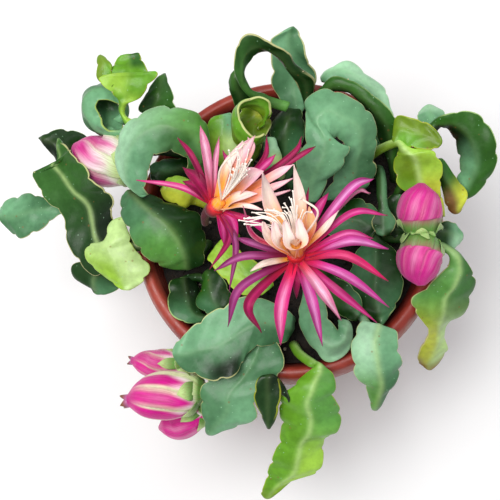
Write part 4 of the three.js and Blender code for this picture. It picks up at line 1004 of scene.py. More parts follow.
@dataclass(frozen=True)
class PetalFinish:
    """Satin petal skin with fine lengthwise veins."""

    name: str
    line: Tone
    line_share: float = 0.35
    roughness: float = 0.5

    def material(self) -> Material:
        """Build the material.

        Returns:
            The material.
        """
        material, sheet, shader = new_material(self.name)
        across, along, seed = sheet.add("SeparateXYZ", {0: sheet.attribute("place_on", "Vector")}).outputs
        spread = {0: sheet.times(across, 9.0), 1: sheet.times(along, 1.6), 2: seed}
        stretched = {"Vector": sheet.out("CombineXYZ", spread), "Scale": 1.0, "Detail": 3.0}
        streak = sheet.out("TexNoise", {**stretched, "Roughness": 0.6})
        mottled = sheet.group(mottle(), Colour=sheet.attribute("tone", "Color"), Scale=60.0, Amount=0.10)
        share = sheet.times(sheet.ramp(streak, 0.42, 0.66), self.line_share)
        colour = sheet.blend(share, mottled[0], opaque(self.line))
        rough = sheet.ramp(streak, 0.3, 0.7, self.roughness - 0.08, self.roughness + 0.08)
        sheet.surface(shader, colour, rough, streak, 0.5, 0.0008,
                      Specular_IOR_Level=0.28, Sheen_Weight=0.15, Sheen_Roughness=0.4)
        return material


@dataclass(frozen=True)
class ThreadFinish:
    """Translucent white threads with creamy ends."""

    name: str
    colour: Row = (0.99, 0.95, 0.91)
    roughness: float = 0.4

    def material(self) -> Material:
        """Build the material.

        Returns:
            The material.
        """
        material, sheet, shader = new_material(self.name)
        mottled = sheet.group(mottle(), Colour=opaque(self.colour), Scale=180.0, Amount=0.12)
        rough = sheet.ramp(mottled["Cloud"], 0.3, 0.7, self.roughness - 0.08, self.roughness + 0.1)
        relief = sheet.group(grain(), Coarse=300.0, Fine=1500.0, Share=0.4)
        sheet.surface(shader, mottled[0], rough, relief[0], 0.3, 0.0004)
        return material


@dataclass(frozen=True)
class PlasticFinish:
    """Moulded terracotta-coloured plastic, a little dusty."""

    name: str
    colour: Row = (0.58, 0.20, 0.15)
    # The inside is darker than the outside: painted shade inside the pot.
    inside: Row = (0.42, 0.14, 0.11)
    dust: Row = (0.76, 0.42, 0.34)
    roughness: float = 0.38

    def material(self) -> Material:
        """Build the material.

        Returns:
            The material.
        """
        material, sheet, shader = new_material(self.name)
        mottled = sheet.group(mottle(), Colour=sheet.attribute("tone", "Color"), Scale=14.0, Amount=0.10)
        fine = sheet.group(mottle(), Colour=mottled[0], Scale=160.0, Amount=0.07)
        colour = sheet.blend(sheet.ramp(mottled["Cloud"], 0.5, 0.8, 0.0, 0.35), fine[0], opaque(self.dust))
        rough = sheet.ramp(fine["Cloud"], 0.3, 0.7, self.roughness - 0.06, self.roughness + 0.14)
        relief = sheet.group(grain(), Coarse=90.0, Fine=1100.0, Share=0.6)
        sheet.surface(shader, colour, rough, relief[0], 0.25, 0.0006)
        return material


@dataclass(frozen=True)
class CrumbFinish:
    """Damp peaty soil, near black both in its own colour and as painted shade, and the pale grit in it."""

    name: str
    # Near-black soil: partly its own dark colour and partly painted shade in the pot.
    dark: Row = (0.04, 0.03, 0.02)
    light: Row = (0.15, 0.11, 0.08)
    scale: float = 120.0
    roughness: float = 0.9

    def material(self) -> Material:
        """Build the material.

        Returns:
            The material.
        """
        material, sheet, shader = new_material(self.name)
        lumps = sheet.noise(self.scale, 6.0, 0.7)
        colour = sheet.blend(sheet.ramp(lumps, 0.38, 0.66), opaque(self.dark), opaque(self.light))
        mottled = sheet.group(mottle(), Colour=colour, Scale=500.0, Amount=0.35)
        rough = sheet.ramp(lumps, 0.3, 0.7, self.roughness - 0.15, self.roughness)
        relief = sheet.group(grain(), Coarse=260.0, Fine=1500.0, Share=0.4)
        sheet.surface(shader, mottled[0], rough, relief[0], 0.9, 0.002)
        return material


# ---- repeated shapes
class Grower:
    """A geometry node tree that grows repeated shapes on a mesh, with named inputs for its sizes."""

    def __init__(self, name: str, sizes: dict[str, tuple[str, Any]]) -> None:
        """Start the tree.

        Args:
            name: the tree's name.
            sizes: its inputs, each with its socket type and its usual value.
        """
        self.tree = bpy.data.node_groups.new(name, "GeometryNodeTree")
        self.tree.interface.new_socket("Geometry", in_out="INPUT", socket_type="NodeSocketGeometry")
        for label, (kind, usual) in sizes.items():
            self.tree.interface.new_socket(label, in_out="INPUT", socket_type=kind).default_value = usual
        self.tree.interface.new_socket("Finish", in_out="INPUT", socket_type="NodeSocketMaterial")
        self.tree.interface.new_socket("Geometry", in_out="OUTPUT", socket_type="NodeSocketGeometry")
        self.sheet = Sheet(self.tree)
        self.takes = self.sheet.add("NodeGroupInput").outputs

    def _node(self, kind: str, inputs: dict[Any, Any] | None = None, **settings: Any) -> Node:
        """Add a geometry node."""
        return self.sheet.add(f"GeometryNode{kind}", inputs, **settings)

    def _out(self, kind: str, inputs: dict[Any, Any] | None = None) -> Socket:
        """Add a geometry node and give its first output."""
        return self._node(kind, inputs).outputs[0]

    def _strewn(self, points: Any, size: Any, spread: Row, selection: Any = True) -> Any:
        """Little round lumps of random size and turn on points.

        Args:
            points: the points to put them on.
            size: their usual radius.
            spread: the least and the largest share of it.
            selection: which of the points take one.

        Returns:
            The output with the lumps.
        """
        lump = self._out("MeshIcoSphere", {"Radius": size, "Subdivisions": 2})
        seed = self.takes["Seed"]
        least, most = spread
        scale = self.sheet.add("FunctionNodeRandomValue", {2: least, 3: most, "Seed": seed}).outputs[1]
        turn = self.sheet.out("FunctionNodeRandomValue", {0: (0, 0, 0), 1: (6.3, 6.3, 6.3), "Seed": seed},
                              data_type="FLOAT_VECTOR")
        wide = self.sheet.add("CombineXYZ", {0: scale, 1: scale, 2: self.sheet.times(scale, 0.7)})
        return self._out("InstanceOnPoints", {"Points": points, "Selection": selection, "Instance": lump,
                                               "Rotation": turn, "Scale": wide.outputs[0]})

    def _close(self, geometry: Any) -> None:
        """End the tree: make the instances real and give them their material."""
        real = self._out("RealizeInstances", {0: geometry})
        dressed = self._out("SetMaterial", {"Geometry": real, "Material": self.takes["Finish"]})
        self.sheet.add("NodeGroupOutput", {0: dressed})

    def grow(self, name: str, source: Mesh, sizes: dict[str, Any], finish: Material) -> Piece:
        """Grow the shapes and keep them as a plain mesh.

        Args:
            name: the piece's name.
            source: the mesh that they grow on.
            sizes: values for the tree's inputs.
            finish: their material.

        Returns:
            The piece.
        """
        piece = linked(name, source)
        modifier = piece.modifiers.new(self.tree.name, "NODES")
        modifier.node_group = self.tree
        values = {**sizes, "Finish": finish}
        for item in self.tree.interface.items_tree:
            if item.in_out == "INPUT" and item.name in values:
                modifier[item.identifier] = values[item.name]
        graph = bpy.context.evaluated_depsgraph_get()
        data = bpy.data.meshes.new_from_object(piece.evaluated_get(graph), depsgraph=graph)
        piece.modifiers.remove(modifier)
        piece.data = data
        data.name = name
        data.polygons.foreach_set("use_smooth", [True] * len(data.polygons))
        return piece


class ThreadGrower(Grower):
    """Round threads along the edges of a mesh, each with an anther at its end."""

    def __init__(self, sides: int = 7) -> None:
        """Build the tree."""
        super().__init__("threads", {"Radius": (FLOAT, 0.5 * MM), "Anther": (FLOAT, 0.8 * MM),
                                     "Seed": (WHOLE, SEED)})
        lines = self._out("MeshToCurve", {"Mesh": self.takes["Geometry"]})
        ring = self._out("CurvePrimitiveCircle", {"Resolution": sides, "Radius": self.takes["Radius"]})
        round_lines = self._out("CurveToMesh", {"Curve": lines, "Profile Curve": ring, "Fill Caps": True})
        end = self._out("CurveEndpointSelection", {"Start Size": 0, "End Size": 1})
        anthers = self._strewn(lines, self.takes["Anther"], (0.7, 1.2), end)
        joined = self._node("JoinGeometry")
        for part in (round_lines, anthers):
            self.sheet.tree.links.new(part, joined.inputs[0])
        self._close(joined.outputs[0])


class AreoleGrower(Grower):
    """Small woolly tufts on the points of a mesh."""

    def __init__(self) -> None:
        """Build the tree."""
        super().__init__("areoles", {"Size": (FLOAT, 0.6 * MM), "Seed": (WHOLE, SEED)})
        self._close(self._strewn(self.takes["Geometry"], self.takes["Size"], (0.6, 1.3)))


class CrumbGrower(Grower):
    """Crumbs strewn over the faces of a mesh."""

    def __init__(self) -> None:
        """Build the tree."""
        super().__init__("crumbs", {"Size": (FLOAT, MM), "Density": (FLOAT, 1.0), "Seed": (WHOLE, SEED)})
        bed = {label: self.takes[label] for label in ("Density", "Seed")}
        points = self._out("DistributePointsOnFaces", {"Mesh": self.takes["Geometry"], **bed})
        self._close(self._strewn(points, self.takes["Size"], (0.3, 1.6)))


# ---- stems
@dataclass
class Rings:
    """Where the points of a stem lie: across it from -1 to 1, and, ring by ring, along it.

    The tooth counts the lobes, and the lobe is half of one further on the right side. The share
    goes from 0 at the blade's base to 1 at its tip. Half is half the width, flat tells a blade
    from a round stalk, and grown is how far the blade has grown out of it.
    """

    v: Array
    tooth: Array
    lobe: Array
    share: Array
    half: Array
    flat: Array
    grown: Array


@dataclass
class Ribbon:
    """One flat stem as a closed skin: its sizes in millimetres."""

    plan: Blade
    turn: float = 0.0
    root_rise: float = 7.0
    stalk_half: float = 4.2
    stalk_fullness: float = 0.85
    flat_from: float = 2.2
    shoulder: float = 8.0
    rib_half: float = 0.8
    rib_reach: float = 2.6
    glow_reach: float = 2.4
    fade: float = 0.6
    flesh_half: float = 1.55
    edge_half: float = 0.5
    edge_thinning: float = 0.35
    samples: int = 40
    nudge: float = 0.05
    least_rings: int = 30
    ring_pitch: float = 2.3
    lobe_pitch: float = 21.0
    lobe_depth: float = 3.0
    lobe_share: float = 0.16
    notch_sharpness: float = 2.4
    wave_height: float = 1.7
    wave_lag: float = 1.3
    seam_half: float = 0.36
    change: Row = (0.28, 0.68)
    tip_reach: Row = (0.86, 1.02)
    # Half sizes, along and across, of the painted hollow shade.
    hollow_shade_half: Row = (0.17, 0.32)
    pillow: float = 0.9
    slant: float = 0.55
    curl_length: float = 9.0
    columns: Row = (0.0, 0.035, 0.08, 0.15, 0.26, 0.4, 0.54, 0.67, 0.79, 0.88, 0.945, 0.982, 1.0)
    notches: list[Array] = field(default_factory=list)

    def _stations(self) -> tuple[Array, Array, Array, int]:
        """The edges and crowns of all stations, those of the stalk first.

        Returns:
            Left edges, right edges, crowns and the number of spans of the stalk.
        """
        rows = np.asarray(self.plan.stations, float)
        left, right, crown = list(place(rows[:, :3])), list(place(rows[:, 3:6])), list(rows[:, 6])
        path = [place(point) for point in self.plan.stalk]
        if self.plan.root:
            foot = np.array([*self.plan.root, SOIL_TOP])
            path = [foot - SKY * ROOT_DEPTH, foot + SKY * self.root_rise, *path]
        side = unit(right[0] - left[0])
        following = (left[0] + right[0]) / 2
        for point in reversed(path):
            along = unit(following - point)
            side = unit(side - along * side.dot(along))
            left.insert(0, point - side * self.stalk_half)
            right.insert(0, point + side * self.stalk_half)
            crown.insert(0, 0.0)
            following = point
        return np.array(left), np.array(right), np.array(crown), len(path)

    def _tones(self, at: Rings) -> Array:
        """Colours over the blade.

        Args:
            at: the stem's rings.

        Returns:
            Linear colours.
        """
        v, share = at.v, at.share
        near_left, near_right, far_left, far_right, *tip = (Tone[t].linear for t in self.plan.tones.split())
        # Painted light and shade: the left and right tones, and the near and far ones, give the blade lit
        # and shaded faces besides its own greens.
        over = smoothstep(v, -self.seam_half, self.seam_half)
        near, far = mix(near_left, near_right, over), mix(far_left, far_right, over)
        tones = mix(near, far, smoothstep(share, *self.change))
        if tip:
            tones = mix(tones, tip[0], smoothstep(share + 0.08 * v * v, *self.tip_reach))
        # Painted shade: a near-black patch where a curled blade's hollow lies in shadow.
        forth, across, depth = self.plan.hollow_shade
        along_half, across_half = self.hollow_shade_half
        shade = np.exp(-(((share - forth) / along_half) ** 4) - ((v - across) / across_half) ** 4)
        tones = mix(tones, Tone.DEEP.linear, shade * depth)
        glow = np.exp(-((v * at.half / self.glow_reach) ** 2))
        glow = glow * (1 - self.fade * smoothstep(share, 0.7, 1.0))
        return mix(tones, Tone.PALE.linear, glow * self.plan.rib)

    def _places(self, left: Spline, right: Spline) -> tuple[Array, Array, Array]:
        """Spread the rings along the stem, closer together where it curls.

        Args:
            left: its left edge.
            right: its right edge.

        Returns:
            The places of the rings on the splines, the length up to each and the length up to each station.
        """
        fine = np.linspace(0, left.spans, left.spans * self.samples + 1)
        edges = left.at(fine), right.at(fine)
        steps = sum(np.linalg.norm(np.diff(edge, axis=0), axis=1) / 2 for edge in edges)
        heads = unit(np.diff(sum(edges) / 2, axis=0))
        bends = np.arccos(np.clip(np.einsum("ij,ij->i", heads[1:], heads[:-1]), -1, 1))
        lengths = np.append(0.0, np.cumsum(steps))
        weights = np.append(0.0, np.cumsum(steps + self.curl_length * np.append(0.0, bends)))
        rings = max(self.least_rings, int(weights[-1] / self.ring_pitch))
        u = np.interp(np.linspace(0, weights[-1], rings)[:, None], weights, fine)
        return u, np.interp(u, fine, lengths), lengths[::self.samples]

    def _relief(self, at: Rings) -> Array:
        """How far the flesh between the veins and the waves of the margins stand out.

        Args:
            at: the stem's rings.

        Returns:
            Heights in millimetres.
        """
        off, blade = np.abs(at.v), at.flat * at.grown
        vein = np.abs(np.sin(np.pi * (at.lobe - self.slant * (1 - off))))
        swell = self.pillow * blade * (vein ** 2 - 0.5) * 4 * off ** 0.8 * (1 - off ** 2.5) / 1.6
        wave = np.sin(np.pi * at.tooth + self.turn + self.wave_lag * at.v)
        return swell + self.wave_height * blade * at.v ** 2 * wave

    def _thickness(self, at: Rings) -> Array:
        """Half the stem's thickness.

        Args:
            at: the stem's rings.

        Returns:
            Half thicknesses in millimetres.
        """
        off, thin = np.abs(at.v), self.edge_half * self.edge_thinning
        stalk = np.minimum(at.half, self.stalk_half) * self.stalk_fullness
        stalk = stalk * np.sqrt(np.maximum(1 - off ** 2, 0))
        flesh = self.edge_half + (self.flesh_half - self.edge_half) * np.sqrt(np.maximum(1 - off ** 3, 0))
        flesh = np.where(off > 0.999, thin, flesh * np.minimum(1, 0.25 + at.half / 8))
        rib = self.rib_half * np.exp(-((at.v * at.half / self.rib_reach) ** 2)) * (1 - self.fade * at.share)
        blade = flesh + rib * np.minimum(1, at.half / 9)
        return np.maximum(stalk, thin) * (1 - at.flat) + blade * at.flat

    def build(self, shells: Shells) -> None:
        """Add the stem to the skins of its piece, and note its notches.

        Args:
            shells: the piece's skins.
        """
        lefts, rights, crowns, stalk_spans = self._stations()
        left, right = Spline(lefts), Spline(rights)
        u, length, ends = self._places(left, right)
        start, total = ends[stalk_spans], ends[-1] - ends[stalk_spans]
        lobes = max(2, round(total / self.lobe_pitch))
        tooth = (length - start) / total * lobes
        side = (right.at(u) - left.at(u)) / 2
        half = np.linalg.norm(side, axis=-1)
        v = np.array([-place_on for place_on in self.columns[:0:-1]] + list(self.columns))[None, :]
        at = Rings(
            v, tooth, tooth + np.where(v > 0, 0.5, 0.0), np.clip((length - start) / total, 0, 1), half,
            flat=smoothstep(half, self.stalk_half, self.stalk_half * self.flat_from),
            grown=smoothstep(length - start, 0.0, self.shoulder),
        )
        ahead, behind = np.clip(u + self.nudge, 0, left.spans), np.clip(u - self.nudge, 0, left.spans)
        along = unit(left.at(ahead) + right.at(ahead) - left.at(behind) - right.at(behind))
        up = unit(np.cross(side, along))
        depth = np.minimum(self.lobe_depth, half * self.lobe_share) * at.grown
        inset = depth * (1 - np.abs(np.sin(np.pi * at.lobe))) ** self.notch_sharpness / half
        across = v * (1 - inset * np.abs(v) ** 1.5)
        crown = Spline(crowns).at(u)[..., 0]
        rise = crown * (1 - v ** 2) + self._relief(at)
        points = (left.at(u) + right.at(u)) / 2 + side * across[..., None] + up * rise[..., None]
        normal = unit(np.cross(side - up * (2 * crown * v)[..., None], along))
        reach = normal * self._thickness(at)[..., None]
        shells.add_leaf(points, reach, self._tones(at), stacked(v, length, half))
        for column, offset in ((0, 0.0), (-1, 0.5)):
            for turn in range(1, lobes):
                ring = int(np.argmin(np.abs(tooth + offset - turn)))
                if 0 < ring < len(tooth) - 1:
                    self.notches.append(points[ring, column])


@dataclass
class FlatStem:
    """The flat stems that grow as one, and stand for one CAD node."""

    name: str
    slot: Slot
    blades: tuple[Blade, ...]
    wave_shift: float = 1.7

    def build(self, finishes: dict[Slot, Material]) -> list[Array]:
        """Make and dress the piece.

        Args:
            finishes: the materials by slot.

        Returns:
            The places of its areoles.
        """
        shells = Shells()
        notches = []
        for index, plan in enumerate(self.blades):
            ribbon = Ribbon(plan, turn=index * self.wave_shift)
            ribbon.build(shells)
            notches.extend(ribbon.notches)
        piece = shells.mesh(f"fleshy_{self.name}")
        dress(piece, finishes[self.slot], (f"stem_{self.name}",))
        return notches


# ---- blooms
def round_body(points: Sequence[Any], radii: Sequence[float], sides: int, rings: int) -> tuple[Array, ...]:
    """A round body along a curve.

    Args:
        points: the points of its middle line.
        radii: its radius at each of them.
        sides: the number of its sides.
        rings: the number of its rings.

    Returns:
        The rings, a column of their places along from 0 to 1, and the angle of each side.
    """
    line, radius = Spline(points), Spline(radii)
    u = np.linspace(0, line.spans, rings)
    heads = unit(line.at(np.clip(u + 0.05, 0, line.spans)) - line.at(np.clip(u - 0.05, 0, line.spans)))
    side = np.array([0.31, 0.89, 0.34])
    angle = -2 * np.pi * np.arange(sides) / sides
    skins = []
    for place_on, head in zip(u, heads):
        side = unit(side - head * side.dot(head))
        up = np.cross(head, side)
        out = np.cos(angle)[:, None] * side + np.sin(angle)[:, None] * up
        skins.append(line.at(place_on) + radius.at(place_on)[0] * out)
    return np.array(skins), (u / line.spans)[:, None], angle


@dataclass
class Petal:
    """One narrow pointed petal as a closed skin."""

    start: Array
    middle: Array
    tip: Array
    width: float
    facing: Array
    blunt: float = 0.0
    base_share: float = 0.34
    fullness: float = 0.8
    widest: float = 0.5
    keel_half: float = 0.36
    edge_half: float = 0.22
    tip_half: float = 0.25
    channel: float = 0.5
    ripple: float = 0.25
    nudge: float = 0.1
    rings: int = 26
    columns: Row = (-1.0, -0.85, -0.6, -0.3, 0.0, 0.3, 0.6, 0.85, 1.0)

    def build(self, shells: Shells, tones: Any, seed: float) -> None:
        """Add the petal to the skins of its piece.

        Args:
            shells: the piece's skins.
            tones: gives the colours for places across and along.
            seed: a number of this petal's own.
        """
        line = Spline([self.start, self.middle, self.tip])
        share = np.linspace(0, 1, self.rings)[:, None]
        u = share * line.spans
        along = unit(line.at(u + self.nudge) - line.at(u - self.nudge))
        up = unit(self.facing - along * (along @ self.facing)[..., None])
        side = np.cross(along, up)
        half = np.maximum(0.5 * self.width * self._swell(share), self.tip_half)
        v = np.array(self.columns)[None, :]
        fold = self.channel * half * (np.abs(v) ** 1.15 - 0.4)
        fold = fold + self.ripple * np.sin(9 * share + 5 * v + seed)
        points = line.at(u) + side * (half * v)[..., None] + up * fold[..., None]
        thick = self.edge_half + (self.keel_half - self.edge_half) * (1 - v ** 2)
        places = stacked(v * self.width / 10, share * 3, seed)
        shells.add_leaf(points, up * thick[..., None], tones(v, share), places)

    def _swell(self, share: Array) -> Array:
        """The petal's width along it, as a share of its greatest width."""
        foot = self.base_share + (1 - self.base_share) * self.fullness * self.blunt
        grown = foot + (1 - foot) * smoothstep(share, -self.widest, self.widest)
        waned = 1 - np.clip((share - self.widest) / (1 - self.widest), 0, 1) ** 1.7
        square = self.blunt * np.sqrt(1 - np.clip((share - 0.8) / 0.2, 0, 1) ** 2)
        return np.maximum(np.where(share < self.widest, grown, waned), square)


def ramp_tones(start: Array, end: Tone, low: float, high: float = 0.9) -> Any:
    """Colours that change along a petal, as a function of places across and along."""
    return lambda v, share: mix(start, end.linear, smoothstep(share, low, high))


@dataclass
class Bloom:
    """An open bloom: a tube with outer petals, a ring of inner petals, and threads."""

    name: str
    plan: BloomPlan
    focus: float = 60.0
    lift: float = 0.9
    tube_radii: Row = (3.0, 3.4, 4.4, 6.4, 6.6)
    collar_radii: Row = (5.6, 4.6, 3.4)
    outer_level: float = -3.2
    outer_spread: float = 5.5
    inner_level: float = 3.0
    inner_spread: float = 4.6
    inner_foot: float = 0.62
    inner_channel: float = 0.3
    inner_ripple: float = 0.4
    thread_level: float = 8.0
    threads: int = 30
    thread_radius: float = 0.42
    thread_steps: int = 14
    anther_radius: float = 0.8
    style_radii: Row = (0.9, 0.8, 0.8)
    lobes: int = 6
    lobe_radii: Row = (0.45, 0.4, 0.3)
    lobe_line: tuple[Row, ...] = ((-0.5, 0), (1.2, 0.9), (1.8, 2.4))
    belly: float = 13.0

    def __post_init__(self) -> None:
        """Place the throat and the axis."""
        self.mouth = place(self.plan.throat)
        self.axis = unit(place(self.plan.heart) - self.mouth)
        self.draw = np.random.default_rng(SEED + len(self.plan.outer))

    def _level(self, share: float) -> Array:
        """A point of the axis, so far above the throat."""
        return self.mouth + self.axis * share

    def _petal(self, row: Row, level: float, spread: float) -> Petal:
        """A petal of a row of the plan.

        Args:
            row: middle, tip and width.
            level: how far above the throat it starts.
            spread: how far from the axis it starts.

        Returns:
            The petal.
        """
        middle, tip = place(row[:3]), place(row[3:6])
        core = self._level(level)
        out = middle - core
        out = unit(out - self.axis * out.dot(self.axis))
        facing = unit(unit(self.mouth + self.axis * self.focus - middle) + SKY * self.lift)
        return Petal(core + out * spread, middle, tip, row[6], facing, *row[7:])

    @staticmethod
    def _outer_tones(hue: Hue, pale: float, shaded_side: float, v: Array, share: Array) -> Array:
        """Colours of an outer petal: its foot, its blade with a stripe, and one side darker, a painted
        shade.

        Args:
            hue: the petal's colours.
            pale: how clear its stripe is.
            shaded_side: how much darker its left or right side is, as painted shade.
            v: places across.
            share: places along.

        Returns:
            Linear colours.
        """
        blade, stripe, foot = hue.linear
        colour = mix(foot, blade, smoothstep(share, 0.04, 0.34))
        # Painted shade: one side of the petal darker, as where a folded petal turns away from the light.
        colour = mix(colour, colour * 0.5, smoothstep(v * np.sign(shaded_side), 0.1, 0.5) * abs(shaded_side))
        line = np.exp(-((v / 0.36) ** 2)) * smoothstep(share, 0.12, 0.4)
        colour = mix(colour, stripe, line * (1 - smoothstep(share, 0.75, 1.0)) * pale)
        return mix(colour, Hue.CRIMSON.linear[0], smoothstep(np.abs(v), 0.8, 1.0) * 0.35)

    @staticmethod
    def _inner_tones(hue: Hue, blush: float, v: Array, share: Array) -> Array:
        """Colours of an inner petal: orange at its foot, then pale with rosy edges.

        Args:
            hue: the petal's colours.
            blush: how rosy its tip and edges are.
            v: places across.
            share: places along.

        Returns:
            Linear colours.
        """
        blade, stripe, foot = hue.linear
        line = np.exp(-((v / 0.5) ** 2)) * smoothstep(share, 0.3, 0.6)
        colour = mix(mix(foot, blade, smoothstep(share, 0.2, 0.7)), stripe, line * 0.7)
        rosy = blush * (smoothstep(share, 0.7, 1.0) * 0.35 + smoothstep(np.abs(v), 0.55, 1.0) * 0.5)
        return mix(colour, Tone.BLUSH.linear, np.clip(rosy, 0, 1))

    def _tube(self) -> Array:
        """The points of the tube's middle line, up to the throat."""
        return np.array([*(place(row) for row in self.plan.tube), self._level(-8.0), self._level(0.0)])

    def build_outer(self, finish: Material) -> None:
        """Make the tube and its outer petals.

        Args:
            finish: the petals' material.
        """
        shells = Shells()
        rings, share, angle = round_body(self._tube(), self.tube_radii, 24, 40)
        # Maroon towards the tube's foot is partly its own colour and partly painted shade under the petals;
        # scarlet near the throat.
        tones = mix(Tone.MAROON.linear, Tone.SCARLET.linear, smoothstep(share, 0.75, 1.0))
        shells.add(rings, tones, stacked(angle / 2, share * 6, 0.0))
        for index, (row, hue) in enumerate(zip(self.plan.outer, self.plan.outer_hues.split(), strict=True)):
            petal = self._petal(row, self.outer_level, self.outer_spread)
            pale = self.draw.uniform(0.45, 0.95)
            # Painted shade falls on the left or the right side of each petal, at random.
            shaded_side = self.draw.choice((-1, 1)) * self.draw.uniform(0.3, 0.8)
            petal.build(shells, partial(self._outer_tones, Hue[hue.upper()], pale, shaded_side), float(index))
        piece = shells.mesh(f"{self.name}_outer_petal_ring")
        dress(piece, finish, (f"bloom_{self.name}_outer_petals",))

    def build_inner(self, finish: Material) -> None:
        """Make the collar and its inner petals.

        Args:
            finish: the petals' material.
        """
        shells = Shells()
        collar = [self._level(level) for level in (0.3, 4.0, 8.0)]
        rings, share, angle = round_body(collar, self.collar_radii, 24, 8)
        tones = mix(Tone.SCARLET.linear, Tone.ORANGE.linear, smoothstep(share, 0.0, 0.5))
        shells.add(rings, tones, stacked(angle / 2, share, 0.0))
        for index, (row, hue) in enumerate(zip(self.plan.inner, self.plan.inner_hues.split(), strict=True)):
            petal = self._petal(row, self.inner_level, self.inner_spread)
            petal.channel, petal.ripple = self.inner_channel, self.inner_ripple
            petal.base_share = self.inner_foot
            tones = partial(self._inner_tones, Hue[hue.upper()], self.draw.uniform(0.3, 1.0))
            petal.build(shells, tones, float(index) + 30)
        piece = shells.mesh(f"{self.name}_inner_petal_ring")
        dress(piece, finish, (f"bloom_{self.name}_inner_petals",))

    def _thread_lines(self) -> Mesh:
        """The middle lines of the threads: those of the plan, and more between them.

        Returns:
            A mesh of edges.
        """
        anthers = np.array([place(row) for row in self.plan.anthers])
        start = self._level(self.thread_level)
        ends = list(anthers)
        while len(ends) < self.threads:
            first, second = self.draw.choice(len(anthers), 2, replace=False)
            share = self.draw.uniform(0.2, 0.8)
            end = anthers[first] * share + anthers[second] * (1 - share)
            ends.append(start + (end - start) * self.draw.uniform(0.8, 1.15) + self.draw.normal(0, 2.0, 3))
        lines = []
        for end in ends:
            bowed = (start + end) / 2 + self.axis * self.belly * self.draw.uniform(0.6, 1.3)
            lines.append(Spline([start, bowed, end]).at(np.linspace(0, 2, self.thread_steps)))
        points = np.concatenate(lines) * MM
        first = np.arange(len(points)).reshape(len(lines), -1)
        edges = np.stack((first[:, :-1].ravel(), first[:, 1:].ravel()), axis=1)
        data = bpy.data.meshes.new(f"{self.name}_thread_lines")
        data.from_pydata(points.tolist(), edges.tolist(), [])
        return data

    def build_stamens(self, grower: Grower, threads: Material, style: Material) -> None:
        """Make the threads with their anthers, and the style.

        Args:
            grower: grows round threads along the lines of a mesh.
            threads: the threads' material.
            style: the style's material.
        """
        sizes = {"Radius": self.thread_radius * MM, "Anther": self.anther_radius * MM, "Seed": SEED}
        piece = grower.grow(f"{self.name}_threads", self._thread_lines(), sizes, threads)
        dress(piece, threads, (f"bloom_{self.name}_stamens",))
        shells = Shells()
        path = [self._level(self.thread_level), *map(place, self.plan.style)]
        shells.add(round_body(path, self.style_radii, 10, 20)[0], Tone.CREAM.linear)
        ahead = unit(path[2] - path[1])
        for out in spokes(ahead, self.lobes):
            ends = [path[2] + ahead * level + out * reach for level, reach in self.lobe_line]
            shells.add(round_body(ends, self.lobe_radii, 6, 6)[0], Tone.CREAM.linear)
        piece = shells.mesh(f"{self.name}_style")
        dress(piece, style)


